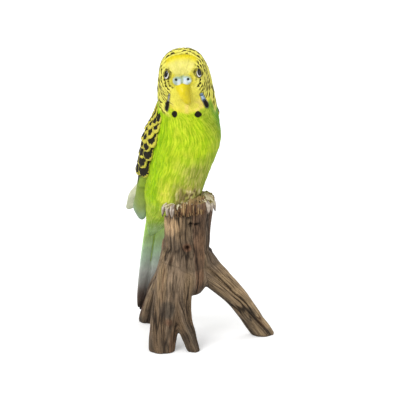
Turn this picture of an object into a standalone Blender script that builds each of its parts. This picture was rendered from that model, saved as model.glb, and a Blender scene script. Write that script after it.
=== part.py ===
"""Budgerigar figurine: a painted cast-resin parakeet perched on a sawn stump that stands on four roots.

The real thing is one casting, so the script makes one solid. The masses that a sculptor would build up
(body, trunk, roots, wings, feathers, tail, toes, bill) are modelled one by one and joined by a Boolean.
Metres, +Z up. The origin is on the floor, under the middle of the figurine; the face looks along -Y.
"""

import math

import bmesh
import bpy
import numpy as np
from mathutils import Matrix, Vector

# Stump
STUMP_HEIGHT = 0.095
TRUNK_RADIUS = 0.0148
TRUNK_TOP_FLARE = 0.0018
TRUNK_UNDERSIDE = 0.0335
TRUNK_TOP_SLOPE = 6.0
TRUNK_LEAN = 0.0022
BARK_DEPTH = 0.0009
BARK_RIDGES = 13
ROOT_RIDGES = 7
FLOOR_MARGIN = 0.012
KNOT_RADIUS = 0.0024
KNOT_HEIGHT = 0.066
PIT_RADIUS = 0.0011
PIT_DEPTH = 0.0030
PITS = ((9.0, 0.0135), (24.0, 0.0135), (-72.0, 0.0100))

# The four roots, each from inside the trunk to the floor: x, y, z and the radius there
FRONT_LEFT_ROOT = (
    (-0.0040, -0.0020, 0.0620, 0.0112),
    (-0.0088, -0.0090, 0.0420, 0.0112),
    (-0.0132, -0.0180, 0.0220, 0.0098),
    (-0.0155, -0.0255, 0.0060, 0.0088),
    (-0.0158, -0.0274, 0.0, 0.0086),
)
FRONT_RIGHT_ROOT = (
    (-0.0020, -0.0060, 0.0540, 0.0090),
    (-0.0050, -0.0145, 0.0330, 0.0084),
    (-0.0032, -0.0205, 0.0200, 0.0064),
    (0.0012, -0.0250, 0.0095, 0.0048),
    (0.0046, -0.0285, 0.0, 0.0040),
)
RIGHT_ROOT = (
    (0.0020, 0.0, 0.0600, 0.0120),
    (0.0094, 0.0010, 0.0495, 0.0102),
    (0.0174, 0.0020, 0.0410, 0.0086),
    (0.0333, 0.0045, 0.0247, 0.0069),
    (0.0454, 0.0068, 0.0071, 0.0066),
    (0.0498, 0.0078, 0.0, 0.0065),
)
BACK_LEFT_ROOT = (
    (-0.0030, 0.0030, 0.0660, 0.0118),
    (-0.0093, 0.0130, 0.0417, 0.0100),
    (-0.0165, 0.0240, 0.0250, 0.0085),
    (-0.0228, 0.0340, 0.0070, 0.0073),
    (-0.0243, 0.0380, 0.0, 0.0073),
)

# Bird
BIRD_HEIGHT = 0.1027
BODY_HALF_WIDTH = 0.0207
BODY_HALF_DEPTH = 0.0250
BIRD_OFFSET = 0.0002
HEAD_TURN = -3.0
HEAD_TILT = 5.0
BREAST_TURN = 30.0
RUMP_TURN = 32.0
LOWER_BODY_SHIFT = 0.0068
HEAD_SQUARENESS = 0.055

# Face
BEAK_LENGTH = 0.0148
BEAK_HALF_WIDTH = 0.0046
BEAK_DEPTH = 0.0080
CERE_RADIUS = 0.0034
EYE_RADIUS = 0.0024
# The angle around the head, in degrees, and the station of each eye
EYE_PLACES = {"right": (204.0, 1.48), "left": (342.0, 1.66)}

# Wings and tail. A wing tip is given as the share across the wing where its feather starts, and its end: to
# the bird's left, forward and above the perch.
WING_THICKNESS = 0.0060
WING_ROOT_SINK = 0.0030
WING_STATIONS = (8.6, 13.6)
COVERT_ROWS = 5
COVERT_COLUMNS = 4
COVERT_LENGTH = 0.0150
COVERT_WIDTH = 0.0094
FEATHER_THICKNESS = 0.0016
PRIMARY_WIDTH = 0.0076
RIGHT_WING_TIPS = ((0.35, (-0.0072, -0.0325, -0.0205)), (0.60, (-0.0095, -0.0360, -0.0170)))
LEFT_WING_TIPS = ((0.45, (-0.0100, -0.0435, -0.0175)), (0.80, (-0.0075, -0.0430, -0.0105)))
TAIL_FEATHER_WIDTH = 0.0078
TAIL_SPREAD = 0.0023
TAIL_THICKNESS = 0.0024
TAIL_END_HEIGHT = 0.0045

# Feet: bearings are from the front, towards the bird's left
TOE_RADIUS = 0.0016
TOE_LENGTH = 0.0135
TOE_SPACING = 0.0036
FOOT_BEARINGS = {"right_foot": -42.0, "left_foot": 60.0}

# Body profile, one row per station from the face to the vent. The first four columns are the front and the
# back point of the section, in the bird's plane of symmetry: forward as a share of BODY_HALF_DEPTH, and
# above the perch as a share of BIRD_HEIGHT. The last is the half-width, as a share of BODY_HALF_WIDTH.
BODY_STATIONS = (
    (0.790, 0.838, 0.790, 0.838, 0.02),
    (0.784, 0.788, 0.744, 0.894, 0.36),
    (0.760, 0.745, 0.580, 0.947, 0.62),
    (0.744, 0.711, 0.360, 0.981, 0.72),
    (0.744, 0.683, 0.080, 0.997, 0.76),
    (0.760, 0.654, -0.240, 0.979, 0.78),
    (0.780, 0.625, -0.500, 0.923, 0.84),
    (0.812, 0.587, -0.660, 0.827, 0.90),
    (0.860, 0.543, -0.720, 0.712, 0.92),
    (0.920, 0.490, -0.760, 0.596, 0.95),
    (0.980, 0.418, -0.840, 0.471, 1.01),
    (0.980, 0.327, -0.920, 0.346, 1.00),
    (0.900, 0.221, -1.000, 0.221, 0.90),
    (0.800, 0.105, -1.060, 0.100, 0.82),
    (0.660, 0.015, -1.100, 0.000, 0.76),
    (0.300, -0.070, -1.120, -0.097, 0.62),
    (-0.380, -0.175, -1.180, -0.215, 0.42),
    (-1.290, -0.333, -1.330, -0.340, 0.03),
)
FIRST_STATION = 0.25
LAST_HEAD_STATION = 7.2
BODY_SIDES = 30
BODY_ROWS = 32

PAINT = {
    "bark_brown": ((0.145, 0.085, 0.050), 0.75),
    "head_yellow": ((0.80, 0.66, 0.05), 0.55),
    "body_green": ((0.33, 0.56, 0.04), 0.55),
    "wing_black": ((0.045, 0.038, 0.020), 0.55),
    "feather_edge": ((0.62, 0.58, 0.12), 0.55),
    "tail_teal": ((0.16, 0.27, 0.19), 0.55),
    "beak_ochre": ((0.74, 0.58, 0.03), 0.40),
    "cere_blue": ((0.50, 0.62, 0.60), 0.40),
    "eye_black": ((0.010, 0.010, 0.010), 0.15),
    "foot_grey": ((0.50, 0.44, 0.40), 0.60),
}


def clear_scene():
    for obj in list(bpy.data.objects):
        bpy.data.objects.remove(obj)


def new_collection(name):
    collection = bpy.data.collections.new(name)
    bpy.context.scene.collection.children.link(collection)
    return collection


def paint(name):
    """A plain painted finish, made once for each name in PAINT."""
    if name in bpy.data.materials:
        return bpy.data.materials[name]
    colour, roughness = PAINT[name]
    material = bpy.data.materials.new(name)
    material.use_nodes = True
    shader = material.node_tree.nodes["Principled BSDF"]
    shader.inputs["Base Color"].default_value = (*colour, 1.0)
    shader.inputs["Roughness"].default_value = roughness
    shader.inputs["Metallic"].default_value = 0.0
    material.diffuse_color = (*colour, 1.0)
    return material


def eased(share):
    """0 to 1 with level ends."""
    share = np.clip(share, 0.0, 1.0)
    return share * share * (3.0 - 2.0 * share)


def along_rows(rows, places):
    """Catmull-Rom curve through the rows, read at the given row numbers."""
    rows = np.asarray(rows, float)
    places = np.clip(np.asarray(places, float), 0.0, len(rows) - 1.0)
    index = np.minimum(places.astype(int), len(rows) - 2)
    t = (places - index)[..., None]
    before = rows[np.maximum(index - 1, 0)]
    start = rows[index]
    end = rows[index + 1]
    after = rows[np.minimum(index + 2, len(rows) - 1)]
    cubic = 3 * (start - end) + after - before
    square = 2 * before - 5 * start + 4 * end - after
    return start + 0.5 * t * (end - before + t * (square + t * cubic))


def heading(height):
    """How far the bird is turned to its left at this height, in radians: the body twists below the head."""
    above = (height - STUMP_HEIGHT) / BIRD_HEIGHT
    lower = RUMP_TURN + (BREAST_TURN - RUMP_TURN) * eased((above + 0.1) / 0.5)
    return np.radians(lower + (HEAD_TURN - lower) * eased((above - 0.40) / 0.42))


def in_room(side, forward, height):
    """A point of the bird (to its left, forward, above the floor) in the figurine's frame."""
    above = (height - STUMP_HEIGHT) / BIRD_HEIGHT
    tilt = np.radians(HEAD_TILT) * eased((above - 0.45) / 0.3)
    rise = height - STUMP_HEIGHT - 0.60 * BIRD_HEIGHT
    across = side * np.cos(tilt) - rise * np.sin(tilt)
    up = STUMP_HEIGHT + 0.60 * BIRD_HEIGHT + side * np.sin(tilt) + rise * np.cos(tilt)
    turn = heading(height)
    shift = BIRD_OFFSET - LOWER_BODY_SHIFT * (1.0 - eased(above / 0.5))
    x = shift + across * np.cos(turn) + forward * np.sin(turn)
    y = across * np.sin(turn) - forward * np.cos(turn)
    return np.stack(np.broadcast_arrays(x, y, up), axis=-1)


def spot(side, forward, height):
    """One point of the bird in the figurine's frame."""
    return Vector(in_room(np.array(side), np.array(forward), np.array(height)))


def body_point(around, station, lift=0.0):
    """Skin of head and body, raised by lift. around is 0 at the bird's left, 90 at the breast, 180 at its
    right and 270 at the back."""
    rows = along_rows(BODY_STATIONS, station)
    scale = np.array([BODY_HALF_DEPTH, BIRD_HEIGHT])
    perch = np.array([0.0, STUMP_HEIGHT])
    front = rows[..., 0:2] * scale + perch
    back = rows[..., 2:4] * scale + perch
    width = rows[..., 4]
    middle = (front + back) / 2
    reach = (front - back) / 2
    length = np.linalg.norm(reach, axis=-1)
    angle = np.radians(around)
    square = 1.0 + HEAD_SQUARENESS * np.sin(2 * angle) ** 2 * eased((8.0 - station) / 2.0)
    grow = square * (length + lift) / np.maximum(length, 1e-9)
    side = square * (width * BODY_HALF_WIDTH + lift) * np.cos(angle)
    plane = middle + reach * (grow * np.sin(angle))[..., None]
    return in_room(side, plane[..., 0], plane[..., 1])


def mesh_object(name, mesh, collection, paints):
    for paint_name in paints:
        mesh.materials.append(paint(paint_name))
    mesh.shade_smooth()
    obj = bpy.data.objects.new(name, mesh)
    collection.objects.link(obj)
    return obj


def lofted(name, rings, collection, paints):
    """A closed skin over rings of points (rows, sides, 3), with a fan of triangles over each end."""
    rings = np.asarray(rings, float)
    rows, sides, _ = rings.shape
    ends = [rings[0].mean(axis=0), rings[-1].mean(axis=0)]
    here = np.arange(rows * sides).reshape(rows, sides)
    across = np.roll(here, -1, axis=1)
    quads = np.stack([here[:-1], across[:-1], across[1:], here[1:]], axis=-1).reshape(-1, 4)
    first, last = rows * sides, rows * sides + 1
    caps = [(first, across[0, i], here[0, i]) for i in range(sides)]
    caps += [(last, here[-1, i], across[-1, i]) for i in range(sides)]
    points = np.vstack([rings.reshape(-1, 3), ends])
    mesh = bpy.data.meshes.new(name)
    mesh.from_pydata(points.tolist(), [], [*quads.tolist(), *caps])
    shape = bmesh.new()
    shape.from_mesh(mesh)
    bmesh.ops.recalc_face_normals(shape, faces=shape.faces)
    shape.to_mesh(mesh)
    shape.free()
    return mesh_object(name, mesh, collection, paints)


def solid_from_curve(curve_object, collection, paint_name):
    """The evaluated curve as a mesh with its caps welded, in place of the curve object."""
    bpy.context.view_layer.update()
    graph = bpy.context.evaluated_depsgraph_get()
    mesh = bpy.data.meshes.new_from_object(curve_object.evaluated_get(graph))
    mesh.transform(curve_object.matrix_world)
    shape = bmesh.new()
    shape.from_mesh(mesh)
    bmesh.ops.remove_doubles(shape, verts=shape.verts, dist=1e-6)
    bmesh.ops.recalc_face_normals(shape, faces=shape.faces)
    shape.to_mesh(mesh)
    shape.free()
    mesh.materials.clear()
    name = curve_object.name
    bpy.data.objects.remove(curve_object)
    return mesh_object(name, mesh, collection, [paint_name])


def ridged_profile(name, ridges, depth, radius):
    """A closed outline of unit radius with bark ridges, for a curve's bevel object."""
    points = 3 * ridges
    curve = bpy.data.curves.new(name, "CURVE")
    curve.dimensions = "2D"
    spline = curve.splines.new("POLY")
    spline.points.add(points - 1)
    for i, point in enumerate(spline.points):
        angle = 2 * math.pi * i / points
        wave = math.cos(ridges * angle + 1.3 * math.sin(2 * angle))
        wave += 0.7 * math.sin(5 * angle) + 0.5 * math.cos(3 * angle)
        ridge = depth / radius * wave
        point.co = ((1 + ridge) * math.cos(angle), (1 + ridge) * math.sin(angle), 0.0, 1.0)
    spline.use_cyclic_u = True
    obj = bpy.data.objects.new(name, curve)
    obj.hide_render = True
    obj.display_type = "WIRE"
    return obj


def limb(name, path, radii, profile, collection, twist=0.0):
    """A trunk or root: the ridged profile carried along a path, with a radius at each point."""
    curve = bpy.data.curves.new(name, "CURVE")
    curve.dimensions = "3D"
    curve.bevel_mode = "OBJECT"
    curve.bevel_object = profile
    curve.use_fill_caps = True
    spline = curve.splines.new("POLY")
    spline.points.add(len(path) - 1)
    for i, (point, place, radius) in enumerate(zip(spline.points, path, radii)):
        point.co = (*place, 1.0)
        point.radius = radius
        point.tilt = twist * i / (len(path) - 1)
    obj = bpy.data.objects.new(name, curve)
    collection.objects.link(obj)
    return solid_from_curve(obj, collection, "bark_brown")


def cut_flat(obj, place, outward):
    """Removes what is beyond a plane and closes the cut."""
    shape = bmesh.new()
    shape.from_mesh(obj.data)
    whole = shape.verts[:] + shape.edges[:] + shape.faces[:]
    cut = bmesh.ops.bisect_plane(
        shape, geom=whole, plane_co=place, plane_no=outward, clear_outer=True
    )
    rim = [edge for edge in cut["geom_cut"] if isinstance(edge, bmesh.types.BMEdge)]
    bmesh.ops.triangle_fill(shape, edges=rim, use_beauty=True)
    bmesh.ops.recalc_face_normals(shape, faces=shape.faces)
    shape.to_mesh(obj.data)
    shape.free()


def add_trunk(masses, guides, cutters):
    """The trunk: a waisted, ridged column with a rounded underside, cut to a sloping top."""
    profile = ridged_profile("trunk_profile", BARK_RIDGES, BARK_DEPTH, TRUNK_RADIUS)
    guides.objects.link(profile)
    share = np.linspace(0.0, 1.0, 12)
    top = STUMP_HEIGHT + TRUNK_RADIUS * math.sin(math.radians(TRUNK_TOP_SLOPE)) * 1.2
    height = TRUNK_UNDERSIDE + (top - TRUNK_UNDERSIDE) * share
    radius = TRUNK_RADIUS + TRUNK_TOP_FLARE * eased((share - 0.5) / 0.4)
    radius = radius * (0.66 + 0.34 * eased(share / 0.12))
    path = np.stack([TRUNK_LEAN * (share - 0.5), 0 * share, height], axis=-1)
    trunk = limb("trunk", path, radius, profile, masses, twist=0.25)
    slope = math.radians(TRUNK_TOP_SLOPE)
    cut_flat(trunk, (0.0, 0.0, STUMP_HEIGHT), (-math.sin(slope), 0.0, math.cos(slope)))
    pits = trunk.modifiers.new("pits", "BOOLEAN")
    pits.operation = "DIFFERENCE"
    pits.operand_type = "COLLECTION"
    pits.collection = cutters
    pits.solver = "EXACT"


def add_roots(masses, guides):
    """The roots, each carried on below the floor and cut off level with it."""
    roots = (
        ("front_left", FRONT_LEFT_ROOT),
        ("front_right", FRONT_RIGHT_ROOT),
        ("right", RIGHT_ROOT),
        ("back_left", BACK_LEFT_ROOT),
    )
    for name, rows in roots:
        rows = along_rows(rows, np.linspace(0.0, len(rows) - 1.0, 10))
        path, radii = rows[:, :3], rows[:, 3]
        run = path[-1] - path[-2]
        below = path[-1] + run / np.linalg.norm(run) * FLOOR_MARGIN
        profile = ridged_profile(name + "_profile", ROOT_RIDGES, BARK_DEPTH, radii[0])
        guides.objects.link(profile)
        radii = np.append(radii, radii[-1])
        root = limb(name + "_root", np.vstack([path, below]), radii, profile, masses, twist=0.5)
        cut_flat(root, (0.0, 0.0, 0.0), (0.0, 0.0, -1.0))


def add_knots(masses):
    """A ring of healed bark on the trunk's front."""
    bpy.ops.mesh.primitive_torus_add(
        major_segments=12,
        minor_segments=5,
        major_radius=KNOT_RADIUS,
        minor_radius=KNOT_RADIUS * 0.42,
        location=(0.0003, -TRUNK_RADIUS, KNOT_HEIGHT),
        rotation=(math.pi / 2, 0.0, 0.0),
    )
    ring = bpy.context.object
    ring.name = "front_knot"
    adopt(ring, masses, "bark_brown")


def add_pits(cutters):
    """Small round holes in the bark under the rim, two in front and one by the right foot."""
    reach = TRUNK_RADIUS + TRUNK_TOP_FLARE
    for number, (bearing, below_rim) in enumerate(PITS):
        angle = math.radians(bearing)
        bpy.ops.mesh.primitive_cylinder_add(
            vertices=8,
            radius=PIT_RADIUS,
            depth=2 * PIT_DEPTH,
            location=(reach * math.sin(angle), -reach * math.cos(angle), STUMP_HEIGHT - below_rim),
            rotation=(math.pi / 2, 0.0, angle),
        )
        pit = bpy.context.object
        pit.name = f"pit_{number}"
        adopt(pit, cutters, "bark_brown")


def adopt(obj, collection, paint_name):
    """Moves a new primitive to the collection with its place applied to its mesh."""
    for other in list(obj.users_collection):
        other.objects.unlink(obj)
    collection.objects.link(obj)
    obj.data.materials.clear()
    obj.data.materials.append(paint(paint_name))
    obj.data.transform(obj.matrix_basis)
    obj.matrix_basis = Matrix.Identity(4)
    obj.data.shade_smooth()
    return obj


def make_body(collection):
    """Head and body in one skin: the stations run back over the head, then down to the vent."""
    station = np.linspace(FIRST_STATION, len(BODY_STATIONS) - 1.0, BODY_ROWS)
    around = np.linspace(0.0, 360.0, BODY_SIDES, endpoint=False)
    rings = body_point(around[None, :], station[:, None] + 0 * around[None, :])
    body = lofted("budgerigar_figurine", rings, collection, ["body_green", "head_yellow"])
    for face in body.data.polygons:
        row = min(face.vertices) // BODY_SIDES
        face.material_index = int(station[row] < LAST_HEAD_STATION)
    return body


def wing_station(along):
    return WING_STATIONS[0] + (WING_STATIONS[1] - WING_STATIONS[0]) * along


def body_middle(station):
    """The middle of the body's section at a station."""
    return body_point(np.array([90.0, 270.0]), np.array([station, station])).mean(axis=0)


def wing_place(hand, along, across):
    """A point of a folded wing's outer skin. hand is -1 for the right wing and 1 for the left one. along
    runs from 0 at the shoulder to 1 at the rump, across from 0 at the front edge to 1 at the back edge."""
    front_edge = 5.0 - 43.0 * along
    back_edge = 62.0 + 14.0 * along
    from_side = -front_edge + (back_edge + front_edge) * across
    around = np.where(hand < 0, 180.0 + from_side, -from_side)
    bulge = np.sin(math.pi * (0.10 + 0.80 * across)) * (0.25 + 0.75 * eased(along / 0.4))
    return body_point(around, wing_station(along), WING_THICKNESS * bulge)


def add_wing(name, hand, masses):
    """The folded wing's mass: a cushion-shaped shell whose inner face is sunk in the body."""
    along = np.linspace(0.0, 1.0, 11)
    across = np.linspace(0.0, 1.0, 7)
    near_end = np.clip(np.minimum(along / 0.25, (1.25 - along) / 0.45), 0.15, 1.0)
    taper = np.sin(0.5 * math.pi * near_end)
    rings = []
    for share, width in zip(along, taper):
        outer = wing_place(hand, share, 0.5 + (across - 0.5) * width)
        inward = body_middle(wing_station(share)) - outer
        depth = (WING_THICKNESS + WING_ROOT_SINK) * (0.4 + 0.6 * width)
        inner = outer + inward / np.linalg.norm(inward, axis=-1)[:, None] * depth
        rings.append(np.vstack([outer, inner[::-1]]))
    lofted(name, rings, masses, ["wing_black"])


def feather_outline(name, length, width, widest, collection):
    """A flat feather as a filled 2D curve: narrow base, rounded tip, widest at a share of its length."""
    half = width / 2
    outline = (
        (0.0, 0.0, 0.0, -0.62 * half),
        (widest * length, -half, 0.30 * length, 0.0),
        (length, 0.0, 0.0, 0.62 * half),
        (widest * length, half, -0.30 * length, 0.0),
    )
    curve = bpy.data.curves.new(name, "CURVE")
    curve.dimensions = "2D"
    curve.fill_mode = "BOTH"
    curve.resolution_u = 3
    spline = curve.splines.new("BEZIER")
    spline.bezier_points.add(len(outline) - 1)
    for point, (along, across, run, rise) in zip(spline.bezier_points, outline):
        point.co = (along, across, 0.0)
        point.handle_left = (along - run, across - rise, 0.0)
        point.handle_right = (along + run, across + rise, 0.0)
    spline.use_cyclic_u = True
    obj = bpy.data.objects.new(name, curve)
    collection.objects.link(obj)
    return obj


def add_feather(name, base, tip, outward, size, masses, paint_name, widest=0.6):
    """One feather from base to tip, its flat face turned outward. size is its width and its thickness."""
    run = tip - base
    width, thickness = size
    feather = feather_outline(name, run.length, width, widest, masses)
    feather.data.extrude = thickness / 2
    x_axis = run.normalized()
    y_axis = outward.cross(x_axis).normalized()
    z_axis = x_axis.cross(y_axis)
    turned = Matrix((x_axis, y_axis, z_axis)).transposed().to_4x4()
    feather.matrix_world = Matrix.Translation(base) @ turned
    return solid_from_curve(feather, masses, paint_name)


def add_coverts(name, hand, masses):
    """Rows of overlapping covert feathers over a wing, each tip standing clear of the row below."""
    step = 1e-3
    size = (COVERT_WIDTH, FEATHER_THICKNESS)
    for row in range(COVERT_ROWS):
        for column in range(COVERT_COLUMNS):
            along = 0.09 + 0.75 * row / (COVERT_ROWS - 1)
            across = (column + 0.30 + 0.5 * (row % 2)) / COVERT_COLUMNS
            at, ahead, beside = wing_place(
                hand, np.array([along, along + step, along]), np.array([across, across, across + step])
            )
            down = Vector(ahead - at).normalized()
            outward = down.cross(Vector(beside - at)).normalized() * hand
            base = Vector(at) - down * COVERT_LENGTH * 0.45 - outward * FEATHER_THICKNESS
            tip = Vector(at) + down * COVERT_LENGTH * 0.55 + outward * FEATHER_THICKNESS * 0.75
            add_feather(f"{name}_{row}_{column}", base, tip, outward, size, masses, "feather_edge")


def add_primaries(name, hand, tips, masses):
    """Long feathers from the wing's lower half to its tip, fanned one over another."""
    size = (PRIMARY_WIDTH, FEATHER_THICKNESS * 1.2)
    start_along = 0.60
    for number, (across, (side, forward, above)) in enumerate(tips):
        base = Vector(wing_place(hand, np.array(start_along), np.array(across)))
        inward = (Vector(body_middle(wing_station(start_along))) - base).normalized()
        tip = spot(side, forward, STUMP_HEIGHT + above)
        backward = spot(0.0, -1.0, STUMP_HEIGHT + above) - spot(0.0, 0.0, STUMP_HEIGHT + above)
        outward = (backward.normalized() - inward).normalized()
        start = base + inward * WING_THICKNESS * 0.5
        add_feather(f"{name}_{number}", start, tip, outward, size, masses, "tail_teal", 0.55)


def add_tail(masses):
    """Graduated tail: long middle feather, shorter ones beside it, the end fused to the back-left root."""
    foot_x, foot_y = BACK_LEFT_ROOT[-1][:2]
    tip = Vector((foot_x - 0.0048, foot_y + 0.0042, TAIL_END_HEIGHT))
    root = spot(0.0008, -0.90 * BODY_HALF_DEPTH, STUMP_HEIGHT + 0.02)
    run = tip - root
    outward = Vector((-math.sin(math.radians(RUMP_TURN)), math.cos(math.radians(RUMP_TURN)), 0.0))
    sideways = outward.cross(run).normalized()
    size = (TAIL_FEATHER_WIDTH, TAIL_THICKNESS)
    for offset in (-2, -1, 0, 1, 2):
        place = sideways * TAIL_SPREAD * offset - outward * TAIL_THICKNESS * 0.35 * abs(offset)
        end = root + run * (1.0 - 0.02 * abs(offset)) + place
        name = f"tail_feather_{offset + 2}"
        add_feather(name, root + place, end, outward, size, masses, "tail_teal", 0.45)


def add_beak(masses):
    """A hooked bill: round sections carried down a curve that turns back to the throat."""
    share = np.linspace(0.0, 1.0, 9)
    top = STUMP_HEIGHT + 0.820 * BIRD_HEIGHT
    forward = 0.70 * BODY_HALF_DEPTH + BEAK_DEPTH * np.sin(math.pi * (0.12 + 0.70 * share)) * 0.95
    height = top - BEAK_LENGTH * share ** 1.15
    half_width = BEAK_HALF_WIDTH * (1 - share ** 1.6) ** 0.6 + 0.0004
    half_depth = BEAK_DEPTH * 0.45 * (1 - share ** 1.8) ** 0.6 + 0.0004
    angle = np.radians(np.linspace(0.0, 360.0, 12, endpoint=False))
    side = half_width[:, None] * np.cos(angle)
    ahead = forward[:, None] + half_depth[:, None] * (np.sin(angle) - 1.0)
    rings = in_room(side, ahead, np.broadcast_to(height[:, None], side.shape))
    lofted("beak", rings, masses, ["beak_ochre"])


def add_ball(name, centre, size, masses, paint_name, turn=0.0):
    """An ellipsoid with half-axes size, turned about the vertical."""
    bpy.ops.mesh.primitive_uv_sphere_add(segments=10, ring_count=6, radius=1.0, location=tuple(centre))
    ball = bpy.context.object
    ball.name = name
    ball.scale = size
    ball.rotation_euler = (0.0, 0.0, turn)
    bpy.context.view_layer.update()
    return adopt(ball, masses, paint_name)


def add_face(masses):
    """Bill, the two lobes of the cere above it, and the eyes."""
    add_beak(masses)
    turn = math.radians(HEAD_TURN)
    cere_height = STUMP_HEIGHT + 0.836 * BIRD_HEIGHT
    lobe = (CERE_RADIUS, CERE_RADIUS * 0.8, CERE_RADIUS * 0.75)
    for name, hand in (("right", -1), ("left", 1)):
        cere = spot(hand * CERE_RADIUS * 0.88, 0.78 * BODY_HALF_DEPTH, cere_height)
        add_ball(name + "_cere", cere, lobe, masses, "cere_blue", turn)
        around, station = EYE_PLACES[name]
        eye = Vector(body_point(np.array(around), np.array(station), -0.30 * EYE_RADIUS))
        add_ball(name + "_eye", eye, (EYE_RADIUS, EYE_RADIUS, EYE_RADIUS * 1.15), masses, "eye_black")


def add_foot(name, rim, toward, masses):
    """Three toes from under the belly over the stump's rim and down its side, tapered to claws."""
    direction = Vector((math.sin(toward), -math.cos(toward), 0.0))
    beside = Vector((math.cos(toward), math.sin(toward), 0.0))
    share = np.linspace(0.0, 1.0, 7)
    bend = np.radians(-6.0 + 92.0 * eased(share * 1.3))
    step = TOE_LENGTH / (len(share) - 1)
    forward = np.cumsum(np.cos(bend)) * step
    drop = np.cumsum(np.sin(bend)) * step
    swell = TOE_RADIUS * np.array([1.0, 1.1, 0.95, 1.1, 0.95, 0.65, 0.25])
    for toe in (-1, 0, 1):
        curve = bpy.data.curves.new(f"{name}_toe_{toe + 1}", "CURVE")
        curve.dimensions = "3D"
        curve.bevel_depth = 1.0
        curve.bevel_resolution = 2
        curve.use_fill_caps = True
        spline = curve.splines.new("POLY")
        spline.points.add(len(share) - 1)
        for i, point in enumerate(spline.points):
            spread = TOE_SPACING * toe * (0.75 + 0.35 * share[i])
            place = rim + direction * float(forward[i]) + beside * float(spread)
            point.co = (place.x, place.y, place.z - drop[i], 1.0)
            point.radius = swell[i]
        obj = bpy.data.objects.new(f"{name}_toe_{toe + 1}", curve)
        masses.objects.link(obj)
        solid_from_curve(obj, masses, "foot_grey")


def add_feet(masses):
    """Both feet on the rim of the sloping top."""
    slope = math.tan(math.radians(TRUNK_TOP_SLOPE))
    reach = TRUNK_RADIUS + TRUNK_TOP_FLARE - TOE_LENGTH * 0.36
    for name, bearing in FOOT_BEARINGS.items():
        toward = math.radians(bearing)
        x, y = reach * math.sin(toward), -reach * math.cos(toward)
        rim = Vector((x, y, STUMP_HEIGHT + slope * x + TOE_RADIUS * 0.5))
        add_foot(name, rim, toward, masses)


def join_masses(body, masses):
    """One solid: every mass is added to the body."""
    joined = body.modifiers.new("masses", "BOOLEAN")
    joined.operation = "UNION"
    joined.operand_type = "COLLECTION"
    joined.collection = masses
    joined.solver = "EXACT"
    joined.material_mode = "TRANSFER"


def without_pockets(mesh):
    """Keeps the outer skin only: feathers that overlap can close off a small hollow between them."""
    shape = bmesh.new()
    shape.from_mesh(mesh)
    unseen = set(shape.verts)
    shells = []
    while unseen:
        shell = [unseen.pop()]
        for vertex in shell:
            beside = {edge.other_vert(vertex) for edge in vertex.link_edges} & unseen
            unseen -= beside
            shell.extend(beside)
        shells.append(shell)
    shells.sort(key=len)
    for shell in shells[:-1]:
        bmesh.ops.delete(shape, geom=shell, context="VERTS")
    shape.to_mesh(mesh)
    shape.free()


def finish_solid(body):
    """Applies the union and moves the solid so that its box stands centred over the origin, on the floor."""
    bpy.context.view_layer.update()
    graph = bpy.context.evaluated_depsgraph_get()
    mesh = bpy.data.meshes.new_from_object(body.evaluated_get(graph))
    without_pockets(mesh)
    places = np.empty(len(mesh.vertices) * 3, np.float32)
    mesh.vertices.foreach_get("co", places)
    places = places.reshape(-1, 3)
    low, high = places.min(axis=0), places.max(axis=0)
    middle = (low + high) / 2
    mesh.transform(Matrix.Translation((-middle[0], -middle[1], -low[2])))
    print("centred by", -middle[0], -middle[1], "size", high - low)
    body.modifiers.clear()
    body.data = mesh


def main():
    clear_scene()
    figurine = new_collection("budgerigar figurine")
    masses = new_collection("sculpted masses")
    profiles = new_collection("bark profiles")
    cutters = new_collection("cutters")
    body = make_body(figurine)
    add_pits(cutters)
    add_trunk(masses, profiles, cutters)
    add_roots(masses, profiles)
    add_knots(masses)
    add_wing("right_wing", -1, masses)
    add_wing("left_wing", 1, masses)
    add_coverts("right_covert", -1, masses)
    add_coverts("left_covert", 1, masses)
    add_primaries("right_primary", -1, RIGHT_WING_TIPS, masses)
    add_primaries("left_primary", 1, LEFT_WING_TIPS, masses)
    add_tail(masses)
    add_face(masses)
    add_feet(masses)
    join_masses(body, masses)
    finish_solid(body)
    for helper in (*masses.objects, *profiles.objects, *cutters.objects):
        helper.hide_render = True
        helper.display_type = "WIRE"


main()
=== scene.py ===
"""The carved and painted surface of a cast-resin budgerigar on a tree stump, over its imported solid."""

import math

import bpy
import numpy as np
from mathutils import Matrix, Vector


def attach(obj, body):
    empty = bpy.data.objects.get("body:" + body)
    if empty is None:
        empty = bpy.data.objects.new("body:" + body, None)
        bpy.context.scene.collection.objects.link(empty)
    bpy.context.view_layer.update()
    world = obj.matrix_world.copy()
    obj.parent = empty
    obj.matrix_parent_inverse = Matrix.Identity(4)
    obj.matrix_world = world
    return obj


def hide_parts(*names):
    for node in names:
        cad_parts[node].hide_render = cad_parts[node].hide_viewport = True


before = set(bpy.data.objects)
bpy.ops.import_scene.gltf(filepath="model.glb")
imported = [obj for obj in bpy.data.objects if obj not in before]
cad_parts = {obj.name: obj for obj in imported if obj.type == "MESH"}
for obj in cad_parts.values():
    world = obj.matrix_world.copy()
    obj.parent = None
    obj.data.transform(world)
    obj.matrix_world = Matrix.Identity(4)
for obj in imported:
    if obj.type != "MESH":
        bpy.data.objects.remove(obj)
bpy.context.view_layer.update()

NODE = "budgerigar_figurine"
UP = np.array([0.0, 0.0, 1.0])

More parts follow.
